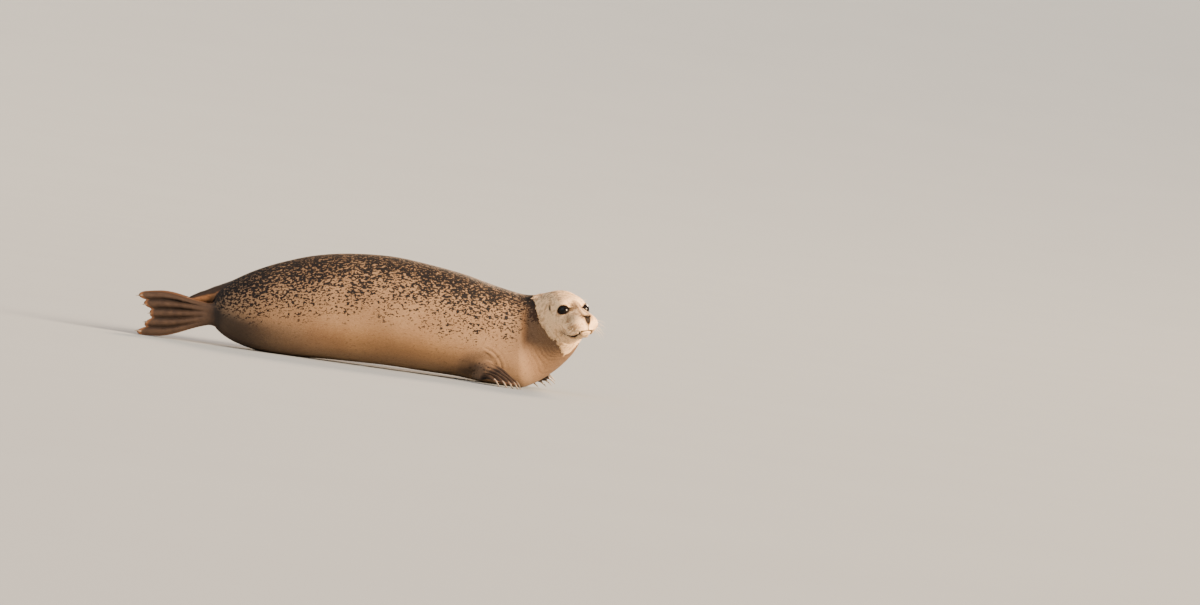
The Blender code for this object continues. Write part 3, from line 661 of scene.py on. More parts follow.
def blade_mesh(name, index):
    """A flipper or the tail: a flat blade of toes with furrows between them, thinner towards its tip."""
    spec, kind = FLIPPERS[name], name.split("_")[0]
    toes, (rows, columns) = TOES[kind], BLADE_GRID[kind]
    v = -np.cos(np.linspace(0, pi, columns)) * 0.35 + np.linspace(-1, 1, columns) * 0.65
    u = np.linspace(0, 1, rows) ** 0.85
    uu, vv = np.meshgrid(u, v, indexing="ij")
    edge = np.clip(1 - np.abs(vv) ** 3.0, 0, 1) ** 0.5
    tip = np.clip(1 - uu ** 8, 0, 1) ** 0.5
    if len(toes) > 3:
        furrow = ease(toe_place(vv, len(toes))[1]) ** 2.2 * ease((uu - 0.22) / 0.40)
        knuckle = 0.06 * bell(uu, 0.52, 0.07) + 0.06 * bell(uu, 0.76, 0.06)
        ridge = 1.0 - 0.72 * furrow + knuckle * (1 - furrow) - 0.05
    else:
        ridge = 1.0
    thick = spec["thick"] / 2 * (1 - spec["taper"] * uu) * edge * ridge * tip
    thick = np.maximum(thick - 0.0010 * edge * tip, 0.25 * thick)
    folds = 0.0006 * ripple(fan_point(spec, toes, uu, vv, thick), 0.030, 41) * edge * tip * ease(uu * 2)
    upper = fan_point(spec, toes, uu, vv, thick + folds)
    lower = fan_point(spec, toes, uu, vv, -thick + folds)
    upper, lower = on_floor_thin(upper, lower)
    sides = 2 * columns - 2
    points = np.concatenate([upper, lower[:, -2:0:-1]], axis=1).reshape(-1, 3)
    quads = grid_faces(rows, sides)
    i, j = np.meshgrid(np.arange(rows - 1), np.arange(sides), indexing="ij")
    i, j = i.ravel(), j.ravel()
    share = np.concatenate([(v + 1) / 2, (v[-2:0:-1] + 1) / 2, [0]])
    low_face = j >= columns - 1
    corner_u = 1 - np.stack([u[i], u[i], u[i + 1], u[i + 1]], -1)
    corner_v = np.stack([share[j], share[j + 1], share[j + 1], share[j]], -1)
    uv = np.where(low_face[:, None, None], on_tile(blade_tile(index, 1), corner_u, corner_v),
                  on_tile(blade_tile(index, 0), corner_u, corner_v))
    # the tip: the last ring's lower corners are its upper ones
    last = (rows - 1) * sides
    mirror = np.arange(len(points))
    mirror[last + columns:last + sides] = last + np.arange(columns - 2, 0, -1)
    quads = mirror[quads]
    cap = end_fans(rows, sides)[0]
    cap_uv = np.broadcast_to(on_tile(blade_tile(index, 0), 0.999, 0.5), (sides, 3, 2))
    points = np.concatenate([points, points[:sides].mean(axis=0)[None]])
    faces = [quads, cap]
    used = np.zeros(len(points), bool)
    used[np.concatenate([f.ravel() for f in faces])] = True
    number = np.cumsum(used) - 1
    return closed_mesh(name, points[used], [number[f] for f in faces], [uv, cap_uv])


# ---------------------------------------------------------------- one skin
def joined(meshes):
    """One closed mesh from several that overlap (a Boolean union)."""
    objects = []
    for mesh in meshes:
        obj = bpy.data.objects.new(mesh.name, mesh)
        bpy.context.scene.collection.objects.link(obj)
        objects.append(obj)
    whole = objects[0]
    for other in objects[1:]:
        step = whole.modifiers.new("join", "BOOLEAN")
        step.operation, step.solver, step.object = "UNION", "EXACT", other
    graph = bpy.context.evaluated_depsgraph_get()
    mesh = bpy.data.meshes.new_from_object(whole.evaluated_get(graph))
    for obj in objects:
        old = obj.data
        bpy.data.objects.remove(obj)
        bpy.data.meshes.remove(old)
    return mesh


def values_of(items, name, width, kind=np.float32):
    """One property of all of a mesh's items, a row for each."""
    values = np.empty(len(items) * width, kind)
    items.foreach_get(name, values)
    return values.reshape(-1, width)


def corners(mesh):
    """The mesh's places, triangles, the unwrap's place at each triangle's corners, and outward directions."""
    points = values_of(mesh.vertices, "co", 3).astype(float)
    normals = values_of(mesh.vertex_normals, "vector", 3).astype(float)
    mesh.calc_loop_triangles()
    tris = values_of(mesh.loop_triangles, "vertices", 3, np.int32)
    loops = values_of(mesh.loop_triangles, "loops", 3, np.int32)
    uv = values_of(mesh.uv_layers["OFBake"].uv, "vector", 2)[loops].astype(float)
    return points, tris, uv, normals


def tile_of(uv):
    """The number of the tile that a place on the unwrap is in: 0 for the body, 1 and up for the blades."""
    blade = np.clip((uv[..., 0] / BLADE_TILE["step"]).astype(int), 0, len(BLADES) - 1)
    return np.where(uv[..., 1] < (BODY_TILE[3] + BLADE_TILE["low"]) / 2, 0, 1 + blade)


def blade_place(uv):
    """Places of the unwrap on its blades: the blade's number, how far along it and across it (0 to 1), and
    whether it's the blade's lower face."""
    t, index = BLADE_TILE, np.clip(tile_of(uv) - 1, 0, len(BLADES) - 1)
    low_face = uv[:, 1] > t["low"] + t["rise"] - 0.005
    return (index, 1 - np.clip((uv[:, 0] - t["left"] - t["step"] * index) / t["wide"], 0, 1),
            np.clip((uv[:, 1] - t["low"] - t["rise"] * low_face) / t["high"], 0, 1), low_face)


def soften_joins(mesh, rounds=40, reach=0.022):
    """Rounds the creases where blades meet the body: corners near a join move to their neighbours' mean.
    How far each corner is from the nearest join is kept on the mesh as "Join"."""
    points, tris, uv, _ = corners(mesh)
    tile = tile_of(uv.mean(axis=1))
    low, high = np.full(len(points), 99), np.full(len(points), -1)
    for k in range(3):
        np.minimum.at(low, tris[:, k], tile)
        np.maximum.at(high, tris[:, k], tile)
    join = points[low != high]
    near = np.full(len(points), 1e9)
    for part in np.array_split(np.arange(len(points)), 1 + len(points) // 4000):
        near[part] = np.linalg.norm(points[part, None, :] - join[None, ::2, :], axis=-1).min(axis=1)
    weight = 0.5 * ease(1.2 - near / reach)[:, None]
    pairs = np.concatenate([tris[:, [0, 1]], tris[:, [1, 2]], tris[:, [2, 0]]])
    pairs = np.unique(np.sort(pairs, axis=1), axis=0)
    ends = np.concatenate([pairs[:, 0], pairs[:, 1]])
    others = np.concatenate([pairs[:, 1], pairs[:, 0]])
    count = np.maximum(np.bincount(ends, minlength=len(points)), 1)[:, None]
    for _ in range(rounds):
        mean = np.stack([np.bincount(ends, points[others, k], len(points)) for k in range(3)], 1) / count
        points += weight * (mean - points)
    points[:, 2] = np.maximum(points[:, 2], CLEAR["blade"])
    mesh.vertices.foreach_set("co", points.astype(np.float32).ravel())
    mesh.attributes.new("Join", "FLOAT", "POINT").data.foreach_set("value", near.astype(np.float32))
    mesh.update()


# ---------------------------------------------------------------- markings, the same for skin and coat
def face_marks(points, at, angle, brown):
    """Black and brown of the face: mouth, nostrils, nose, lid edges, tear lines, ears, pads and bridge. The
    black in the nostril slits, the ear holes and the groove under the nose is painted shade, and the mouth's
    black band is dark lip with painted shade in its groove. Each is a bell or a soft edge round the same line
    that the head is sculpted by."""
    seen, h = to_head(points - ORIGIN), face_places(at, angle)
    a, b, c = h[:, 0], h[:, 1], h[:, 2]
    wide = np.abs(b)
    off = c - mouth_height(a, b)
    # the mouth's black band: dark lip skin, and painted shade in the groove under the full upper lip
    lip_and_groove_shade = 0.0019 + 0.0023 * bell(a, 0.004, 0.026)
    black = 0.98 * ease((lip_and_groove_shade - np.abs(off - 0.0001)) / 0.0014 + 0.5) * ease((a + 0.018) / 0.008)
    smudge = bell(a, -0.002, 0.023) * bell(off, 0.0020, 0.0110)
    pad = np.exp(-(((a - 0.048) / 0.018) ** 2 + ((wide - 0.036) / 0.02) ** 2 + ((c + 0.064) / 0.016) ** 2))
    patch = np.exp(-(((a - 0.036) / 0.015) ** 2 + ((wide - 0.044) / 0.02) ** 2 + ((c + 0.038) / 0.014) ** 2))
    bridge = (bell(wide, 0.005 + 0.17 * (a - 0.022), 0.007) * bell(c, 0.019 - 0.96 * (a - 0.022), 0.012)
              * ease((a - 0.005) / 0.02))
    corner = bell(a, 0.068, 0.008) * bell(wide, 0.017, 0.006) * bell(c, -0.033, 0.008)
    brown = np.max([brown, 0.95 * smudge, 0.55 * pad, 0.50 * patch, 0.62 * bridge, 0.90 * corner], axis=0)
    folded = np.stack([a, wide, c], -1)
    for row, place in WHISKER_PLACES:
        dot = ((folded - whisker_root(row, place, 1)) ** 2).sum(-1)
        brown = np.maximum(brown, 0.97 * np.exp(-dot / 0.0022 ** 2))
    for side in BOTH:
        long_way, thin_way = nostril_place(h, side)
        # painted shade: black down each nostril's slit
        slit = ease(1.5 * bell(thin_way, 0, 0.0028)) * ease((a - 0.058) / 0.006)
        black = np.maximum(black, slit * ease((NOSTRIL["half"] + 0.001 - np.abs(long_way)) / 0.002))
        off_lid, far, x, y = lid_distance(seen, side)
        near = np.linalg.norm(seen - eye_frame(side)[0], axis=-1) < 0.036
        tear = bell(y + 0.10 * np.abs(x), -0.001, 0.0028) * bell(np.abs(x), 0.026, 0.0050)
        near = near * ease((EYE_RADIUS + 0.0065 - far) / 0.0030)
        black = np.maximum(black, near * ease((0.0013 - off_lid) / 0.0013))
        brown = np.maximum(brown, near * np.maximum(0.75 * ease((0.0034 - off_lid) / 0.0030), 0.85 * tear))
        away = h - EAR * (1, side, 1)
        # painted shade: black in the ear hole
        ear_hole_shade = ease(2.2 * bell(away[:, 0] + 0.2 * away[:, 2], 0, 0.0027) * bell(away[:, 2], 0, 0.0095))
        black = np.maximum(black, ear_hole_shade * (np.linalg.norm(away, axis=1) < 0.03))
    nose = ease(1.7 * bell(c, -0.046, 0.014)) * ease((a - 0.060) / 0.010)
    nose *= ease((0.0130 - wide + 0.35 * np.minimum(c + 0.047, 0)) / 0.005)
    # painted shade: black along the groove from the nose to the mouth
    line = bell(b, 0, 0.0016) * ease((a - 0.055) / 0.01)
    line *= ease((-0.050 - c) / 0.006) * ease((c + 0.084) / 0.004)
    black = np.max([black, 0.8 * line, 0.93 * nose], axis=0)
    return black, np.clip(np.maximum(brown, nose), 0, 1)


def marks(points, uv):
    """The coat's markings at places on the skin, as two colours.

    Coat: how thick the spots lie, how dry the fur is, how dark the flipper fur is, with painted shade on the
    lower hind end.
    Detail: black (lid edges, nose and the dark lip; painted shade in the mouth's groove, the nostril slits,
    the groove under the nose, the ears and the flippers' furrows), brown (muzzle, tear lines), gold (lower
    flank; on the blades, painted rim light on their edges, toe tips and the tail's lower face).
    """
    table, share, _ = arc_table()
    tile = tile_of(uv)
    body = tile == 0
    at = np.interp(np.clip(uv[:, 0], 0, 1), share, table)
    angle = angle_on_tile(uv[:, 1])
    turn = off_top(angle)
    # spots lie thick down to an uneven limit on the flank, and thickest on the nape
    wobble = ripple(points, 0.12, 51)
    limit = np.interp(at, (0, 2, 5, 7, 9, 9.6, 10.6, 11.7, 13.5), (115, 108, 90, 84, 88, 90, 78, 72, 84))
    spots = np.clip((limit + 14 + 5 * wobble - turn) / 62, 0, 1)
    edge = at - dry_line(angle) + ragged(points)
    dry = ease(edge / 0.14 + 0.5)
    crown = ease((19.5 - at) / 3.0) * ease((75 - turn) / 40)
    nape = 1.2 * bell(edge, -0.20, 0.80) * ease((100 - turn) / 18)
    spots = np.where(edge > 0, 0.55 * crown, np.maximum(spots, 1.1 * nape))
    # dark rump, painted shade on the lower hind end, golden lower flank, brown throat
    rump = ease((2.3 - at) / 2.0)
    # painted shade: the underside of the hind end darkened towards the flipper colour
    under = ease((6.8 - at) / 4.0) * ease((turn - 84) / 30)
    dark = np.clip(rump * 0.80 + 0.80 * under, 0, 0.96)
    gold = bell(turn, 120, 26) * ease((at - 1.5) / 2.5) * ease((10.5 - at) / 2.5)
    throat = ease((at - 11.8) / 1.2) * (1 - dry)
    brown = 0.25 * throat * ease((turn - 40) / 30)

    # the blades: dark, with painted shade in the furrows between the toes, painted rim light on the edges,
    # toe tips and the tail's lower face, and the tail darker on its upper face
    index, run, across, under_face = blade_place(uv)
    furrow = ease(toe_place(2 * across - 1, 5)[1]) ** 2
    # where the painted rim light lies: the blades' tips and side edges
    rim = np.maximum(ease((run - 0.945) / 0.045), ease((np.abs(2 * across - 1) - 0.95) / 0.045))
    hind = np.array([n.startswith("hind") for n in BLADES])[index]
    tail = np.array([n == "tail" for n in BLADES])[index]
    fore = ~hind & ~tail
    # painted shade: the hind flippers a little darker in their furrows
    blade_dark = np.where(hind, 0.96 + 0.04 * furrow * ease(run * 3 - 1), 0.0)
    # painted light: the tail's lower face paler than its upper face
    blade_dark += np.where(tail, np.where(under_face, 0.45, 0.96), 0.0)
    blade_dark += np.where(fore, 0.46 + 0.50 * ease((run - 0.30) / 0.22), 0.0)
    for name in FORE:  # the fur darkens towards a front flipper
        near = np.linalg.norm(points - ORIGIN - FLIPPERS[name]["root"], axis=1)
        dark = np.maximum(dark, 0.46 * ease((0.085 - near) / 0.04))
    dark = np.where(body, dark, np.clip(blade_dark, 0, 1))
    spots = np.where(body, spots, 0.15)
    dry = np.where(body, dry, 0.0)
    # painted rim light: orange on the blades' edges and toe tips, less in the furrows, and over the tail's
    # lower face
    painted_rim_light = rim * np.where(fore, 0.30, 0.9) * (1 - 0.6 * furrow * ~tail)
    painted_rim_light = np.maximum(painted_rim_light, 0.8 * (tail & under_face))
    gold = np.where(body, gold * (1 - np.clip(3 * dark, 0, 1)), painted_rim_light)
    brown = np.where(body, brown, 0.06)
    # painted shade: black in the furrows between the toes, towards their ends
    black = np.where(body, 0, 0.75 * furrow * ease(run * 3 - 1) * ~tail * (1 - rim))
    black = np.where(tail & ~under_face, 0.40 * (1 - rim), black)

    face = np.flatnonzero(body & (at > HEAD_START))
    black[face], brown[face] = face_marks(points[face], at[face], angle[face], brown[face])
    coat = np.stack([spots, dry, dark, np.ones(len(points))], -1)
    detail = np.stack([black, np.clip(brown, 0, 1), gold, np.full(len(points), 0.5)], -1)
    return coat, detail


def write_marks(mesh, coat, detail, tip):
    """The markings kept on a mesh, a colour for each corner point, and how near the tip of its tuft it is."""
    for name, values in (("Coat", coat), ("Detail", detail)):
        layer = mesh.attributes.new(name, "FLOAT_COLOR", "POINT")
        layer.data.foreach_set("color", values.astype(np.float32).ravel())
    layer = mesh.attributes.new("Tip", "FLOAT", "POINT")
    layer.data.foreach_set("value", tip.astype(np.float32))


# ---------------------------------------------------------------- coat
def lay_of(points, tris, uv):
    """The way the coat lies on each triangle: down the skin from nose to tail and from root to toe, which is
    the way the unwrap's first number falls."""
    p, q = points[tris], uv
    e1, e2 = p[:, 1] - p[:, 0], p[:, 2] - p[:, 0]
    d1, d2 = q[:, 1] - q[:, 0], q[:, 2] - q[:, 0]
    det = d1[:, 0] * d2[:, 1] - d2[:, 0] * d1[:, 1]
    det = np.where(np.abs(det) < 1e-12, 1e-12, det)
    way = (e1 * d2[:, 1:] - e2 * d1[:, 1:]) / det[:, None]
    across = (e2 * d1[:, :1] - e1 * d2[:, :1]) / det[:, None]
    normal = unit(np.cross(e1, e2))
    # square to the way across, so that the hair runs straight back and doesn't slant with the rings
    back = -np.sign((np.cross(across, normal) * way).sum(-1, keepdims=True)) * np.cross(across, normal)
    return unit(back), normal


def tuft_sizes(at, tile, props):
    """Length, width and height of the tufts: long on the body, smallest on the muzzle and the flippers."""
    long_, wide, high = (MM * np.where(tile > 0, on_blade, np.interp(at, TUFT_SECTIONS, on_body))
                         for on_body, on_blade in zip(TUFT_SIZES, BLADE_TUFT))
    return long_ * props.tuft_length, wide, high


def tufts(roots, back, normal, size, seed):
    """Flat, tapering locks: a sunk root, a belly of three corners and a tip, laid along the skin.

    Also gives directions to shade them by: the skin's own, leaning to the lock's sides and tip, so that the
    coat looks sleek and each lock is softly round.
    """
    rng = np.random.default_rng(seed)
    count = len(roots)
    long_, wide, high = (s[:, None] for s in size)
    swing = rng.normal(0, 0.13, (count, 1)) + 0.16 * ripple(roots, 0.045, seed)[:, None]
    side = np.cross(normal, back)
    way = unit(back * np.cos(swing) + side * np.sin(swing))
    side = np.cross(normal, way)
    long_ = long_ * rng.uniform(0.75, 1.25, (count, 1))
    high = high * rng.uniform(0.6, 1.15, (count, 1))
    middle = roots + way * long_ * 0.42 + normal * high * 0.50
    parts = [roots - 0.0003 * normal, middle - side * wide / 2 - normal * wide * 0.10,
             middle + normal * high * 0.42, middle + side * wide / 2 - normal * wide * 0.10,
             roots + way * long_ + normal * high * rng.uniform(0.1, 0.7, (count, 1))]
    lean = [normal - 0.10 * way, normal - 0.42 * side, normal, normal + 0.42 * side, normal + 0.20 * way]
    points = np.stack(parts, 1)
    points[..., 2] = np.maximum(points[..., 2], CLEAR["tuft"])
    return points.reshape(-1, 3), unit(np.stack(lean, 1)).reshape(-1, 3)


def coat_piece(name, roots, back, normal, size, uv, seed, material):
    """One piece of the coat: its tufts, each a patch of the skin's unwrap at its root's place."""
    points, shading = tufts(roots, back, normal, size, seed)
    count, per_tuft = len(roots), len(TUFT_TIP)
    tris = (per_tuft * np.arange(count)[:, None, None] + TUFT_TRIS).reshape(-1, 3)
    place = np.clip(uv[:, None, :] + TUFT_PATCH, 0, 1).reshape(-1, 2)
    mesh = closed_mesh(name, points, [tris], [place[tris]])
    coat, detail = marks(roots, uv)
    detail[:, 3] = np.random.default_rng(seed + 50).uniform(0, 1, count)
    write_marks(mesh, np.repeat(coat, per_tuft, axis=0), np.repeat(detail, per_tuft, axis=0),
                np.tile(TUFT_TIP, count))
    mesh.normals_split_custom_set_from_vertices(shading.astype(np.float32))
    piece_from(name, mesh, material)


def comb_coat(props, material):
    """Roots spread over the skin by how thick the coat stands there, then parted into pieces by region."""
    skin = bpy.data.objects["seal_skin"].data
    points, tris, uv, normals = corners(skin)
    back, flat_normal = lay_of(points, tris, uv)
    centre_uv = uv.mean(axis=1)
    tile = tile_of(centre_uv)
    table, share, length = arc_table()
    at = np.interp(centre_uv[:, 0], share, table)
    long_, wide, _ = tuft_sizes(at, tile, props)
    p = points[tris]
    area = np.linalg.norm(np.cross(p[:, 1] - p[:, 0], p[:, 2] - p[:, 0]), axis=1) / 2
    cover = np.where(tile > 0, BLADE_COVER, props.cover)
    # less where the body lies on the floor
    cover = cover * (1 - 0.5 * ease((0.04 - p[:, 0, 2]) / 0.03) * (tile == 0))
    weight = area * cover / (0.5 * long_ * wide)
    total = np.concatenate([[0], np.cumsum(weight)])
    number = int(total[-1])
    rng = np.random.default_rng(7)
    spot = (np.arange(number) + rng.uniform(0, 1, number)) * (total[-1] / number)
    pick = np.clip(np.searchsorted(total, spot, side="right") - 1, 0, len(tris) - 1)
    r1, r2 = np.sqrt(rng.uniform(0, 1, number)), rng.uniform(0, 1, number)
    mix = np.stack([1 - r1, r1 * (1 - r2), r1 * r2], -1)
    roots = (points[tris[pick]] * mix[..., None]).sum(1)
    normal = unit((normals[tris[pick]] * mix[..., None]).sum(1))
    root_uv = (uv[pick] * mix[..., None]).sum(1)
    way = back[pick]
    way = unit(way - normal * (way * normal).sum(-1, keepdims=True))
    tile, at = tile[pick], np.interp(root_uv[:, 0], share, table)

    # none on bare places, nor where a tuft would lie over them: inside the lids, on the nose and in the mouth
    h = to_head(roots - ORIGIN)
    bare = marks(roots, root_uv)[1][:, 0] > 0.35
    bare |= (np.abs(h[:, 1]) < 0.013) & (h[:, 2] > -0.058) & (h[:, 2] < -0.030) & (h[:, 0] > 0.066)
    size = np.stack(tuft_sizes(at, tile, props), -1)
    ends = roots + way * size[:, :1]
    body, face = tile == 0, (tile == 0) & (at > HEAD_START)
    for part, limit in ((0.35, 0.45), (0.7, 0.45), (1.0, 0.30)):
        back_at = np.interp(np.clip(root_uv[:, 0] - part * size[:, 0] / length, 0, 1), share, table)
        shifted = np.stack([np.interp(back_at, table, share), root_uv[:, 1]], -1)
        bare |= face & (marks(roots + part * (ends - roots), shifted)[1][:, 0] > limit)
    for side in BOTH:
        off, far, _, _ = lid_distance(h, side)
        off_end = lid_distance(to_head(ends - ORIGIN), side)[0]
        bare |= (np.minimum(off, off_end) < 0.0016) & (far < 0.04) & face
        size[:, 0] *= np.where(face & (far < 0.05), 0.45 + 0.55 * ease((off - 0.002) / 0.014), 1)
    # shorter where a blade meets the body and round the front flippers
    join = values_of(skin.attributes["Join"].data, "value", 1)[:, 0]
    join = (join[tris[pick]] * mix).sum(1)
    size[:, ::2] *= 0.30 + 0.70 * ease((join - 0.002) / 0.022)[:, None]
    for name in FORE:
        near = np.linalg.norm(roots - ORIGIN - FLIPPERS[name]["root"], axis=1)
        size[:, 0] *= np.where(body, 0.5 + 0.5 * ease((near - 0.07) / 0.05), 1)
    # shorter towards the ears, the toes' ends and the blades' edges, and none round their sharp rims
    for side in BOTH:
        near = np.linalg.norm(h - EAR * (1, side, 1), axis=1)
        size[:, 0] *= np.where(face, 0.45 + 0.55 * ease((near - 0.006) / 0.012), 1)
    _, run, across, _ = blade_place(root_uv)
    rim = np.maximum(ease((run - 0.78) / 0.17), ease((np.abs(2 * across - 1) - 0.80) / 0.15))
    size[:, 0] *= np.where(body, 1, 1 - 0.65 * rim)
    bare |= ~body & ((run > 0.965) | ((flat_normal[pick] * normal).sum(-1) < 0.86))
    # the edge of the dry fur is longer and stands up a little
    angle = angle_on_tile(root_uv[:, 1])
    edge = at - dry_line(angle) + ragged(roots)
    fringe = np.where(body, bell(edge, 0.12, 0.16), 0)
    size[:, 0] *= 1 + 0.25 * fringe
    size[:, 2] *= 1 + 0.9 * fringe
    left = np.sin(angle) > 0
    regions = [("coat_%s_%s" % (name, side), slot, body & (at > low) & (at <= high) & (left == (sign > 0)))
               for name, slot, low, high in REGIONS for side, sign in SIDES]
    regions.append(("coat_flippers", "flipper_fur", ~body))
    for seed, (name, slot, inside) in enumerate(regions, 100):
        chosen = np.flatnonzero(inside & ~bare)
        coat_piece(name, roots[chosen], way[chosen], normal[chosen], size[chosen].T,
                   root_uv[chosen], seed, material)


# ---------------------------------------------------------------- eyes and lid edges
def eye_mesh(name, side):
    """An eyeball: a sphere with a low bulge of the cornea, radius R (1 + 0.03 exp(-(angle / 0.5)^2))."""
    centre, out, nose, up = eye_frame(side)
    rows, sides = 40, 64
    off = np.linspace(0.02, pi - 0.02, rows)[:, None]
    turn = (2 * pi * np.arange(sides) / sides)[None, :]
    radius = (EYE_RADIUS - 0.0009) * (1 + 0.030 * np.exp(-(off / 0.50) ** 2))
    ways = (np.cos(off)[..., None] * out + (np.sin(off) * np.cos(turn))[..., None] * nose
            + (np.sin(off) * np.sin(turn))[..., None] * up)
    points = (centre + radius[..., None] * ways).reshape(-1, 3)
    points = np.concatenate([points, points[:sides].mean(axis=0)[None], points[-sides:].mean(axis=0)[None]])
    return closed_mesh(name, from_head(points) + ORIGIN, [grid_faces(rows, sides), *end_fans(rows, sides)])


def tube_along(path, radius, sides, across, looped=False):
    """An oval tube along a path of points: rings square to the path, and two radii for each point, the first
    along `across`.

    Returns points and faces; the ends are closed by fans, unless the path is a loop.
    """
    run = unit(np.roll(path, -1, axis=0) - np.roll(path, 1, axis=0) if looped else np.gradient(path, axis=0))
    across = np.broadcast_to(across, run.shape)
    one = unit(across - run * (across * run).sum(-1, keepdims=True))
    two = np.cross(run, one)
    turn = 2 * pi * np.arange(sides) / sides
    rings = (path[:, None, :] + (radius[:, 0, None] * np.cos(turn))[..., None] * one[:, None, :]
             + (radius[:, 1, None] * np.sin(turn))[..., None] * two[:, None, :])
    points, quads = rings.reshape(-1, 3), grid_faces(len(path), sides, looped)
    if looped:
        return points, [quads]
    return np.concatenate([points, path[:1], path[-1:]]), [quads, np.concatenate(end_fans(len(path), sides))]


def lid_rim_mesh(name, side):
    """The wet dark edge of the lids: a thin tube round the eye opening, on the eyeball."""
    centre, out, nose, up = eye_frame(side)
    count = 120
    turn = np.linspace(0, 2 * pi, count, endpoint=False)
    share = lid_edge(turn)
    x = share * LID["wide"] * np.cos(turn)
    y = share * np.where(np.sin(turn) > 0, LID["above"], LID["below"]) * np.sin(turn)
    y = y + LID["slope"] * x + LID["level"]
    off = np.hypot(x, y) / EYE_RADIUS
    way = (np.cos(off)[:, None] * out + np.sin(off)[:, None]
           * (x[:, None] * nose + y[:, None] * up) / np.hypot(x, y)[:, None])
    path = centre + way * (EYE_RADIUS + 0.0004)
    radius = np.stack([np.full(count, 0.0009), 0.0011 + 0.0002 * np.cos(turn) ** 2], -1)
    points, faces = tube_along(path, radius, 8, way, looped=True)
    return closed_mesh(name, from_head(points) + ORIGIN, faces)


# ---------------------------------------------------------------- claws and whiskers
def claw_mesh(name, kind, side, number):
    """A claw: a tapering oval horn that bends down, its root in the toe, with a blunt tip."""
    spec, toes = FLIPPERS[kind + "_" + side], TOES[kind]
    size = CLAWS[kind]
    v = TOE_SPREAD * (2 * number / (len(toes) - 1) - 1)
    tip, before = fan_point(spec, toes, np.array([0.985, 0.93]), np.array([v, v]), np.zeros(2))
    low = max(-min(tip[2], before[2]), 0)
    forward, down = unit(tip - before), -flipper_frame(spec)[3]
    place = tip + (0, 0, low) - CLAW_RISE * down
    t = np.linspace(0, 1, 22)
    bend = radians(size["droop"]) * t
    length = size["length"] + size["root"]
    path = (place - size["root"] * forward + length * (t * np.cos(bend / 2))[:, None] * forward
            + length * (t * np.sin(bend / 2))[:, None] * down)
    taper = np.clip(1 - t ** 1.8, 0, 1) ** 0.9 + 0.10
    path[:, 2] = np.maximum(path[:, 2], taper * size["radius"])
    taper = taper * (1 + 0.02 * np.sin(t * 60)) * np.where(t > 0.97, 0.45, 1.0)
    radius = size["radius"] * 0.97 * np.stack([taper, taper * 0.86], -1)
    points, faces = tube_along(path, radius, 14, -down)
    return closed_mesh(name, points + ORIGIN, faces)


def whisker_mesh(name, side, skin_points, skin_normals):
    """All whiskers of one side: long beaded hairs from the pad and short ones over the eye."""
    rng = np.random.default_rng(60 + side)
    all_points, all_faces, shift = [], [], 0
    specs = []  # root, direction, length, thickness and droop of each hair
    for row, place in WHISKER_PLACES:
        back = place / (WHISKERS_IN_ROW - 1)
        length = (0.020 + 0.038 * back ** 0.8) * (1.05 - 0.07 * abs(row - 2)) * rng.uniform(0.85, 1.12)
        way = np.array((0.42 - 1.15 * back, side * (1.0 + 0.2 * back), -0.42 - 0.10 * row))
        specs.append((whisker_root(row, place, side), way, length, 0.00032, 0.35))
    for place in range(BROW_HAIRS):
        root = np.array((-0.006 - 0.006 * place, side * (0.046 + 0.002 * place), 0.026 + 0.003 * (place % 2)))
        specs.append((root, np.array((0.15 - 0.25 * place, side * 0.7, 0.8)), 0.022 * rng.uniform(0.8, 1.2),
                      0.00028, 0.6))
    for root, way, length, thick, droop in specs:
        target = from_head([root])[0] + ORIGIN
        nearest = np.argmin(((skin_points - target) ** 2).sum(-1))
        base, normal = skin_points[nearest], skin_normals[nearest]
        way = unit(head_axes() @ unit(way) + 0.55 * normal + rng.normal(0, 0.05, 3))
        fall = unit(head_axes() @ np.array((-0.75, 0.0, -0.65)))
        t = np.linspace(0, 1, 9)
        path = (base - 0.0015 * normal + length * t[:, None] * way
                + length * droop * (t ** 2)[:, None] * fall)
        path[:, 2] = np.maximum(path[:, 2], CLEAR["whisker"])
        radius = thick * (1 - 0.85 * t) * (1 + 0.10 * np.sin(t * length / 0.0022 * pi))
        points, faces = tube_along(path, np.stack([radius, radius], -1), 4, normal)
        all_points.append(points)
        all_faces.append([f + shift for f in faces])
        shift += len(points)
    return closed_mesh(name, np.concatenate(all_points), [np.concatenate(kind) for kind in zip(*all_faces)])


# ---------------------------------------------------------------- materials
def feed(tree, node, inputs):
    """A node's inputs filled: a value is set, an output is linked."""
    for name, value in dict(inputs).items():
        socket = node.inputs[name]
        if isinstance(value, bpy.types.NodeSocket):
            tree.links.new(value, socket)
        else:
            socket.default_value = value


def add(tree, kind, inputs=(), **settings):
    """A node with its settings and inputs."""
    node = tree.nodes.new(kind)
    for name, value in settings.items():
        setattr(node, name, value)
    feed(tree, node, inputs)
    return node


def maths(tree, operation, a, b=0.0, c=0.0):
    """One sum of numbers or outputs."""
    return add(tree, "ShaderNodeMath", {0: a, 1: b, 2: c}, operation=operation).outputs[0]


def between(tree, value, low, high, to_low=0.0, to_high=1.0):
    """A value carried smoothly from one range to another."""
    ranges = {"Value": value, "From Min": low, "From Max": high, "To Min": to_low, "To Max": to_high}
    return add(tree, "ShaderNodeMapRange", ranges, interpolation_type="SMOOTHSTEP").outputs["Result"]


def opaque(colour, times=1.0):
    """A setting's colour with nothing seen through it, darkened by a number."""
    return (*(times * c for c in colour), 1)


def mixed(tree, share, one, two, blend="MIX"):
    """A mix of two colours."""
    inputs = {0: share, 6: one, 7: two}
    return add(tree, "ShaderNodeMix", inputs, data_type="RGBA", blend_type=blend).outputs[2]


def bumped(tree, height, strength, distance):
    """The directions of a surface raised by a height."""
    return add(tree, "ShaderNodeBump", {"Height": height, "Strength": strength,
                                        "Distance": distance}).outputs["Normal"]


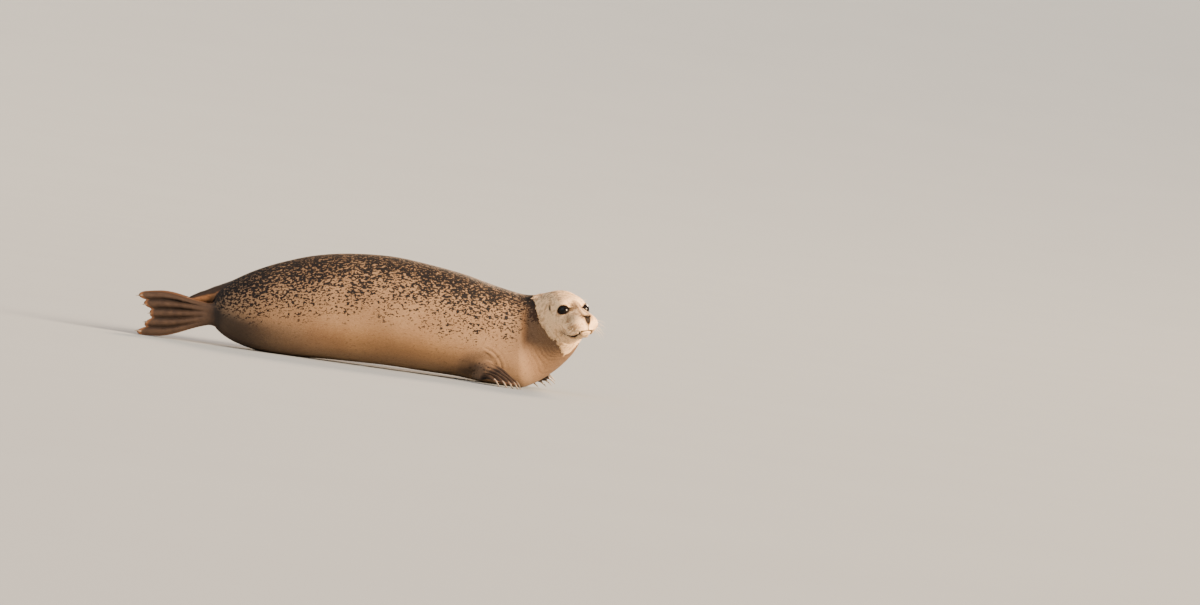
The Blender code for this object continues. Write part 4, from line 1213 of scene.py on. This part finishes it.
def position(tree):
    """The place on the model that is being coloured."""
    return add(tree, "ShaderNodeTexCoord").outputs["Object"]


def noise(tree, place, scale, detail=2.0, rough=0.5, stretch=(1, 1, 1), turn=(0, 0, 0), distort=0.0):
    """Noise at a place that is first turned, then stretched along its own axes."""
    turned = add(tree, "ShaderNodeMapping", {"Vector": place, "Rotation": turn}).outputs[0]
    drawn = add(tree, "ShaderNodeVectorMath", {0: turned, 1: stretch}, operation="MULTIPLY").outputs[0]
    made = add(tree, "ShaderNodeTexNoise", {"Vector": drawn, "Scale": scale, "Detail": detail,
                                            "Roughness": rough, "Distortion": distort})
    return made.outputs["Fac"]


def new_group(name, inputs, outputs):
    """An empty node group with named inputs and outputs."""
    group = bpy.data.node_groups.new(name, "ShaderNodeTree")
    for label, kind, value in inputs:
        socket = group.interface.new_socket(name=label, in_out="INPUT", socket_type=kind)
        socket.default_value = value
    for label, kind in outputs:
        group.interface.new_socket(name=label, in_out="OUTPUT", socket_type=kind)
    return group, group.nodes.new("NodeGroupInput"), group.nodes.new("NodeGroupOutput")


def coat_group(props):
    """The coat's colours: pale fur with dark blotches, a golden flank, a dry pale head, dark flippers with
    painted rim light on their edges, and painted shade on the lower hind end and in the creases of the face
    and flippers.

    Blotches are where stretched noise rises over a threshold that falls as the spots lie thicker.
    """
    colour, number = "NodeSocketColor", "NodeSocketFloat"
    names = ("Pale", "Gold", "Spot", "Head", "Mottle", "Flipper", "Rim", "Brown")
    group, start, end = new_group(
        "Seal Coat Colours", [(name, colour, opaque(getattr(props, name.lower()))) for name in names],
        [("Colour", colour), ("Roughness", number), ("Height", number)])
    given = start.outputs
    place = position(group)
    coat = add(group, "ShaderNodeSeparateColor",
               {"Color": add(group, "ShaderNodeAttribute", attribute_name="Coat").outputs["Color"]})
    marked = add(group, "ShaderNodeAttribute", attribute_name="Detail")
    detail = add(group, "ShaderNodeSeparateColor", {"Color": marked.outputs["Color"]})
    tip = add(group, "ShaderNodeAttribute", attribute_name="Tip").outputs["Fac"]
    spots, dry, dark = coat.outputs[:3]
    black, brown, gold = detail.outputs[:3]

    def times(a, b):
        return maths(group, "MULTIPLY", a, b)

    def minus(a, b):
        return maths(group, "SUBTRACT", a, b)

    def plus(a, b):
        return maths(group, "ADD", a, b)

    lean = (0.0, radians(10.0), 0.0)
    head_turn = tuple(Matrix(head_axes().T).to_euler())
    big = noise(group, place, 1.0, 1.5, 0.5, (98, 145, 165), lean, 0.5)
    small = noise(group, place, 1.0, 1.0, 0.5, (210, 290, 320), lean)
    body_hair = noise(group, place, 1.0, 2.0, 0.6, (130, 850, 850), lean)
    head_hair = noise(group, place, 1.0, 2.0, 0.6, (160, 950, 950), head_turn)
    fur = add(group, "ShaderNodeMix", {0: dry, 2: body_hair, 3: head_hair}).outputs[0]
    # the spots' field: large and small noise and the hair, over a threshold
    field = plus(big, times(minus(small, 0.5), 0.30))
    field = plus(field, times(minus(fur, 0.5), 0.16))
    level = maths(group, "MULTIPLY_ADD", spots, -0.255, 0.655)
    over = minus(field, level)
    blotch = between(group, over, -0.024, 0.034)
    # the body: pale and gold, clouded brown, shaded and blotched by the spots
    wide = noise(group, place, 9.0, 3.0, 0.5)
    body = mixed(group, times(gold, 0.85), given["Pale"], given["Gold"])
    body = mixed(group, between(group, wide, 0.35, 0.65, 0.0, 0.22), body, given["Brown"])
    body = mixed(group, between(group, small, 0.45, 0.75, 0.0, 0.20), body, given["Brown"])
    body = mixed(group, times(spots, 0.42), body, SHADOW_FUR)
    body = mixed(group, times(blotch, between(group, spots, 0.0, 0.25, 0.30, 0.98)), body, given["Spot"])
    # the dry head, mottled on the crown, and the dark flippers
    mottle = times(between(group, over, -0.030, 0.060), times(spots, 1.5))
    speck = noise(group, place, 330.0, 1.5)
    freckle = between(group, speck, 0.54, 0.66)
    mottle = times(mottle, between(group, small, 0.25, 0.6, 0.35, 1.0))
    head = mixed(group, mottle, given["Head"], given["Mottle"])
    warm = noise(group, place, 62.0, 2.5, 0.55, distort=0.8)
    head = mixed(group, between(group, warm, 0.46, 0.68, 0.0, 0.60), head, WARM_SPOT)
    base = mixed(group, dry, body, head)
    flip = mixed(group, between(group, wide, 0.3, 0.7, 0.0, 0.5), given["Flipper"], given["Spot"])
    # dark: the flippers' own fur, the rump, and painted shade on the lower hind end
    base = mixed(group, dark, base, flip)
    # painted rim light: the Rim colour on the blades' edges, toe tips and the tail's lower face
    base = mixed(group, times(times(gold, dark), 0.9), base, given["Rim"])
    # stains of the face, deepened by a power
    stain = times(brown, between(group, speck, 0.30, 0.62, 0.35, 1.0))
    stain = minus(1.0, maths(group, "POWER", minus(1.0, stain), 2.4))
    base = mixed(group, stain, base, given["Brown"])
    base = mixed(group, times(times(freckle, brown), 0.6), base, FRECKLE)
    # light and dark hairs, tips and locks
    streak = between(group, fur, 0.3, 0.7, 0.82, 1.12)
    shade = times(streak, between(group, tip, 0.0, 1.0, 0.90, 1.08))
    shade = times(shade, between(group, marked.outputs["Alpha"], 0.0, 1.0, 0.90, 1.10))
    base = mixed(group, 1.0, base, add(group, "ShaderNodeCombineColor",
                                       {"Red": shade, "Green": shade, "Blue": shade}).outputs[0], "MULTIPLY")
    # black: lid edges, nose and lip, and painted shade in the mouth's groove, nostrils, ears and the
    # flippers' furrows
    base = mixed(group, black, base, BLACK)
    rough = minus(maths(group, "MULTIPLY_ADD", dry, 0.20, 0.58), times(dark, 0.06))
    rough = minus(rough, times(black, 0.15))
    rough = plus(rough, times(minus(fur, 0.5), 0.25))
    feed(group, end, {"Colour": base, "Roughness": rough, "Height": fur})
    return group


def new_material(name):
    """An empty material with its shader."""
    material = bpy.data.materials.new(name)
    material.use_nodes = True
    tree = material.node_tree
    return material, tree, tree.nodes["Principled BSDF"]


def coat_material(props, name, distance):
    """Fur: the coat's colours, a fine hair bump and a soft sheen."""
    material, tree, shader = new_material(name)
    colours = tree.nodes.new("ShaderNodeGroup")
    colours.node_tree = bpy.data.node_groups.get("Seal Coat Colours") or coat_group(props)
    feed(tree, shader, {"Base Color": colours.outputs["Colour"], "Roughness": colours.outputs["Roughness"],
                        "Normal": bumped(tree, colours.outputs["Height"], 0.6, distance),
                        "Sheen Weight": 0.02, "Sheen Roughness": 0.45, "Sheen Tint": (1.0, 0.80, 0.60, 1),
                        "Specular IOR Level": 0.13})
    return material


def eye_material(props, name, side):
    """A wet eye: a dark brown iris with fine rays, a wide pupil and a darker edge."""
    material, tree, shader = new_material("eye_" + name)
    centre, _, nose, up = eye_frame(side)
    middle = from_head([centre])[0] + ORIGIN
    axes = head_axes() @ np.stack([nose, up], 1)
    place = position(tree)
    moved = add(tree, "ShaderNodeVectorMath", {0: place, 1: tuple(middle)}, operation="SUBTRACT").outputs[0]
    x, y = (add(tree, "ShaderNodeVectorMath", {0: moved, 1: tuple(axes[:, k] / EYE_RADIUS)},
                operation="DOT_PRODUCT").outputs["Value"] for k in range(2))
    squares = [maths(tree, "MULTIPLY", v, v) for v in (x, y)]
    flat = maths(tree, "SQRT", maths(tree, "ADD", *squares))
    turn = maths(tree, "ARCTAN2", y, x)
    rays = add(tree, "ShaderNodeTexNoise", {"Vector": add(tree, "ShaderNodeCombineXYZ", {
        "X": maths(tree, "MULTIPLY", turn, 6.0), "Y": maths(tree, "MULTIPLY", flat, 1.5)}).outputs[0],
        "Scale": 4.0, "Detail": 3.0}).outputs["Fac"]
    iris = mixed(tree, between(tree, rays, 0.35, 0.65), opaque(props.iris), opaque(props.iris, 0.35))
    colour = mixed(tree, between(tree, flat, 0.42, 0.50), BLACK, iris)
    colour = mixed(tree, between(tree, flat, 0.62, 0.74), colour, (0.006, 0.004, 0.003, 1))
    feed(tree, shader, {"Base Color": colour, "Roughness": 0.10, "Specular IOR Level": 0.20})
    return material


def rim_material():
    """Wet dark skin of the lid edges."""
    material, tree, shader = new_material("lid_edge")
    grain = noise(tree, position(tree), 900.0, 3.0)
    feed(tree, shader, {"Base Color": mixed(tree, grain, (0.003, 0.0024, 0.002, 1), (0.010, 0.007, 0.005, 1)),
                        "Roughness": between(tree, grain, 0.3, 0.7, 0.45, 0.62),
                        "Normal": bumped(tree, grain, 0.5, 0.0003), "Specular IOR Level": 0.15})
    return material


def claw_material(props):
    """Horn, cloudy between a pale and a darker tone, with fine growth lines."""
    material, tree, shader = new_material("claw")
    place = position(tree)
    lines = noise(tree, place, 1.0, 2.0, 0.5, (900, 300, 900))
    cloud = noise(tree, place, 160.0, 2.0)
    colour = mixed(tree, between(tree, cloud, 0.35, 0.65), opaque(props.claw), opaque(props.claw, 0.35))
    colour = mixed(tree, between(tree, lines, 0.4, 0.7, 0.0, 0.45), colour, (0.07, 0.05, 0.04, 1))
    feed(tree, shader, {"Base Color": colour, "Roughness": between(tree, cloud, 0.3, 0.7, 0.28, 0.45),
                        "Normal": bumped(tree, lines, 0.4, 0.0003)})
    return material


def whisker_material():
    """Pale hair, darker in places."""
    material, tree, shader = new_material("whisker")
    cloud = noise(tree, position(tree), 120.0, 2.0)
    colour = mixed(tree, between(tree, cloud, 0.4, 0.7), (0.75, 0.62, 0.46, 1), (0.38, 0.27, 0.18, 1))
    feed(tree, shader, {"Base Color": colour, "Roughness": between(tree, cloud, 0.3, 0.7, 0.30, 0.42)})
    return material


# ---------------------------------------------------------------- stage
def make_floor(props):
    """A pale bowl: flat for 25 metres, then a quarter turn up of 50 metres out and 14 high."""
    rows, sides = 48, 128
    t = np.linspace(0, 1, rows)
    rise = np.clip(2 * t - 1, 0, 1) * pi / 2
    radius = np.where(t < 0.5, 25 * (2 * t) ** 1.5, 25 + 50 * np.sin(rise))
    height = 14 * (1 - np.cos(rise))
    radius[0] = 0.01
    turn = 2 * pi * np.arange(sides) / sides
    points = np.stack([radius[:, None] * np.cos(turn), radius[:, None] * np.sin(turn),
                       np.broadcast_to(height[:, None] - 0.0005, (rows, sides))], -1).reshape(-1, 3)
    mesh = mesh_from("floor", points, [grid_faces(rows, sides)[:, ::-1]])
    material, tree, shader = new_material("floor_paint")
    cloud = noise(tree, position(tree), 0.8, 3.0)
    paint = mixed(tree, cloud, opaque(props.floor), opaque(props.floor, 0.94))
    feed(tree, shader, {"Base Color": paint, "Roughness": 0.9, "Specular IOR Level": 0.1})
    mesh.materials.append(material)
    floor = bpy.data.objects.new("floor", mesh)
    bpy.context.scene.collection.objects.link(floor)


def make_lights():
    """Soft warm light from the head's side, a cool fill, a warm light from behind, and a pale sky."""
    for name, azimuth, elevation, power, angle, colour in LIGHTS:
        light = bpy.data.lights.new(name, "SUN")
        light.energy, light.angle, light.color = power, radians(angle), colour
        lamp = bpy.data.objects.new(name, light)
        lamp.rotation_mode = "QUATERNION"
        a, e = radians(azimuth), radians(elevation)
        towards = Vector((sin(a) * cos(e), -cos(a) * cos(e), sin(e)))
        lamp.rotation_quaternion = towards.to_track_quat("Z", "Y")
        bpy.context.scene.collection.objects.link(lamp)

    world = bpy.data.worlds.new("studio")
    world.use_nodes = True
    feed(world.node_tree, world.node_tree.nodes["Background"], {0: (0.92, 0.94, 1.0, 1), 1: 0.52})
    bpy.context.scene.world = world


def make_camera(props):
    """A camera at the seal's right side, rolled and tilted down a little, with a long lens."""
    roll, down = radians(VIEW_ROLL), radians(VIEW_DOWN)
    right = np.array((cos(roll), 0, sin(roll)))
    upright = np.array((-sin(roll), 0, cos(roll)))
    ahead = np.array((0.0, 1.0, 0.0))
    look = ahead * cos(down) - upright * sin(down)
    up = upright * cos(down) + ahead * sin(down)
    data = bpy.data.cameras.new("camera")
    data.sensor_width, data.lens = 36.0, 36.0 * VIEW_DISTANCE / props.view_width
    data.clip_end = 400.0
    camera = bpy.data.objects.new("camera", data)
    turn = Matrix((right, up, -look)).transposed()
    camera.matrix_world = Matrix.Translation(VIEW_TARGET - look * VIEW_DISTANCE) @ turn.to_4x4()
    bpy.context.scene.collection.objects.link(camera)
    bpy.context.scene.camera = camera


# ---------------------------------------------------------------- settings
class SealSkinSettings(bpy.types.PropertyGroup):
    """Sizes and colours of the skin and coat."""
    sides: bpy.props.IntProperty(name="Sides", description="Corners round the body", default=232, min=32)
    tuft_length: bpy.props.FloatProperty(name="Tuft length", description="Times the natural length",
                                         default=1.0, min=0.2, max=2.0)
    cover: bpy.props.FloatProperty(name="Cover", description="How many layers of tufts lie over the skin",
                                   default=1.6, min=0.1, max=4.0)
    pale: bpy.props.FloatVectorProperty(name="Pale fur", description="Between the spots", subtype="COLOR",
                                        default=(0.240, 0.150, 0.086))
    gold: bpy.props.FloatVectorProperty(name="Flank", description="Lower flank and belly", subtype="COLOR",
                                        default=(0.215, 0.122, 0.056))
    spot: bpy.props.FloatVectorProperty(name="Spots", description="Dark blotches of the back",
                                        subtype="COLOR", default=(0.0046, 0.0048, 0.0060))
    head: bpy.props.FloatVectorProperty(name="Head", description="Dry fur of the head", subtype="COLOR",
                                        default=(0.95, 0.64, 0.36))
    mottle: bpy.props.FloatVectorProperty(name="Mottle", description="Faint spots of the crown",
                                          subtype="COLOR", default=(0.20, 0.125, 0.078))
    flipper: bpy.props.FloatVectorProperty(name="Flippers", description="Dark fur of flippers and tail",
                                           subtype="COLOR", default=(0.027, 0.0205, 0.0180))
    # painted rim light: this orange lies on the flippers' edges, toe tips and the tail's lower face
    rim: bpy.props.FloatVectorProperty(name="Flipper edges", description="Orange edges and toe tips",
                                       subtype="COLOR", default=(0.29, 0.122, 0.050))
    brown: bpy.props.FloatVectorProperty(name="Brown", description="Stains of muzzle, eyes and neck",
                                         subtype="COLOR", default=(0.130, 0.064, 0.032))


class SealDetailSettings(bpy.types.PropertyGroup):
    """Colours of eyes and claws."""
    iris: bpy.props.FloatVectorProperty(name="Iris", description="Colour of the iris", subtype="COLOR",
                                        default=(0.007, 0.004, 0.003))
    claw: bpy.props.FloatVectorProperty(name="Claws", description="Colour of the horn", subtype="COLOR",
                                        default=(0.32, 0.25, 0.18))


class SealStageSettings(bpy.types.PropertyGroup):
    """Floor and camera."""
    floor: bpy.props.FloatVectorProperty(name="Floor", description="Colour of the floor", subtype="COLOR",
                                         default=(0.270, 0.305, 0.340))
    view_width: bpy.props.FloatProperty(name="View width", description="Width of the view at the seal",
                                        default=3.96, unit="LENGTH")


# ---------------------------------------------------------------- operators
class SEAL_OT_skin(bpy.types.Operator):
    """One skin over head, body, tail and flippers"""
    bl_idname = "seal.skin"
    bl_label = "Skin"

    def execute(self, context):
        props = context.scene.seal_skin
        at = ring_places()
        meshes = [tube_mesh("seal_skin", at, props.sides)]
        meshes += [blade_mesh(name, index) for index, name in enumerate(BLADES)]
        mesh = joined(meshes)
        if len(mesh.polygons) < 1000:
            raise RuntimeError("the parts of the skin could not be joined")
        soften_joins(mesh)
        mesh.transform(Matrix.Translation(ORIGIN))
        points, tris, uv, _ = corners(mesh)
        vertex_uv = np.zeros((len(points), 2))
        vertex_uv[tris.ravel()] = uv.reshape(-1, 2)
        coat, detail = marks(points, vertex_uv)
        write_marks(mesh, coat, detail, np.full(len(points), 0.4))
        mesh.polygons.foreach_set("use_smooth", np.ones(len(mesh.polygons), bool))
        mesh.polygons.foreach_set("material_index", np.zeros(len(mesh.polygons), np.int32))
        flesh = [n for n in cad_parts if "claw" not in n and not n.startswith("eye")]
        piece_from("seal_skin", mesh, coat_material(props, "seal_skin_fur", 0.0006), flesh)
        return {"FINISHED"}


class SEAL_OT_coat(bpy.types.Operator):
    """Tufts of fur over the skin, in pieces by region"""
    bl_idname = "seal.coat"
    bl_label = "Coat"

    def execute(self, context):
        props = context.scene.seal_skin
        comb_coat(props, coat_material(props, "seal_coat_fur", 0.0002))
        return {"FINISHED"}


class SEAL_OT_eyes(bpy.types.Operator):
    """Eyeballs and the dark edges of the lids"""
    bl_idname = "seal.eyes"
    bl_label = "Eyes"

    def execute(self, context):
        rim = rim_material()
        for name, side in SIDES:
            ball, edge = "eyeball_" + name, "lid_edge_" + name
            iris = eye_material(context.scene.seal_detail, name, side)
            piece_from(ball, eye_mesh(ball, side), iris, ["eye_" + name])
            piece_from(edge, lid_rim_mesh(edge, side), rim)
        return {"FINISHED"}


class SEAL_OT_claws(bpy.types.Operator):
    """Twenty claws, five on each flipper"""
    bl_idname = "seal.claws"
    bl_label = "Claws"

    def execute(self, context):
        material = claw_material(context.scene.seal_detail)
        for kind in ("fore", "hind"):
            for side, _ in SIDES:
                for number in range(len(TOES[kind])):
                    name = "%s_%s_horn_%d" % (kind, side, number + 1)
                    piece_from(name, claw_mesh(name, kind, side, number), material,
                               ["%s_claw_%s_%d" % (kind, side, number + 1)])
        return {"FINISHED"}


class SEAL_OT_whiskers(bpy.types.Operator):
    """Whiskers of the muzzle and the brow"""
    bl_idname = "seal.whiskers"
    bl_label = "Whiskers"

    def execute(self, context):
        points, _, _, normals = corners(bpy.data.objects["seal_skin"].data)
        material = whisker_material()
        for name, side in SIDES:
            mesh = whisker_mesh("whiskers_" + name, side, points, normals)
            piece_from("whiskers_" + name, mesh, material)
        return {"FINISHED"}


class SEAL_OT_stage(bpy.types.Operator):
    """Pale floor, soft light and the camera"""
    bl_idname = "seal.stage"
    bl_label = "Stage"

    def execute(self, context):
        make_floor(context.scene.seal_stage)
        make_lights()
        make_camera(context.scene.seal_stage)
        return {"FINISHED"}


class SEAL_PT_panel(bpy.types.Panel):
    """The seal's pieces and their settings"""
    bl_label = "Harbor Seal"
    bl_idname = "SEAL_PT_panel"
    bl_space_type = "VIEW_3D"
    bl_region_type = "UI"
    bl_category = "Seal"

    def draw(self, context):
        for settings in (context.scene.seal_skin, context.scene.seal_detail, context.scene.seal_stage):
            for name in settings.__annotations__:
                self.layout.prop(settings, name)
        for operator in OPERATORS:
            self.layout.operator(operator.bl_idname)


OPERATORS = (SEAL_OT_skin, SEAL_OT_coat, SEAL_OT_eyes, SEAL_OT_claws, SEAL_OT_whiskers, SEAL_OT_stage)
SETTINGS = (("seal_skin", SealSkinSettings), ("seal_detail", SealDetailSettings),
            ("seal_stage", SealStageSettings))


def register():
    """The settings, operators and panel made known to Blender."""
    for name, kind in SETTINGS:
        bpy.utils.register_class(kind)
        setattr(bpy.types.Scene, name, bpy.props.PointerProperty(type=kind))
    for kind in (*OPERATORS, SEAL_PT_panel):
        bpy.utils.register_class(kind)


def unregister():
    """The settings, operators and panel taken away."""
    for kind in (SEAL_PT_panel, *reversed(OPERATORS)):
        bpy.utils.unregister_class(kind)
    for name, kind in reversed(SETTINGS):
        delattr(bpy.types.Scene, name)
        bpy.utils.unregister_class(kind)


def main():
    """Every piece of the seal, then the stage."""
    register()
    bpy.ops.seal.skin()
    bpy.ops.seal.coat()
    bpy.ops.seal.eyes()
    bpy.ops.seal.claws()
    bpy.ops.seal.whiskers()
    bpy.ops.seal.stage()


if __name__ == "__main__":
    main()
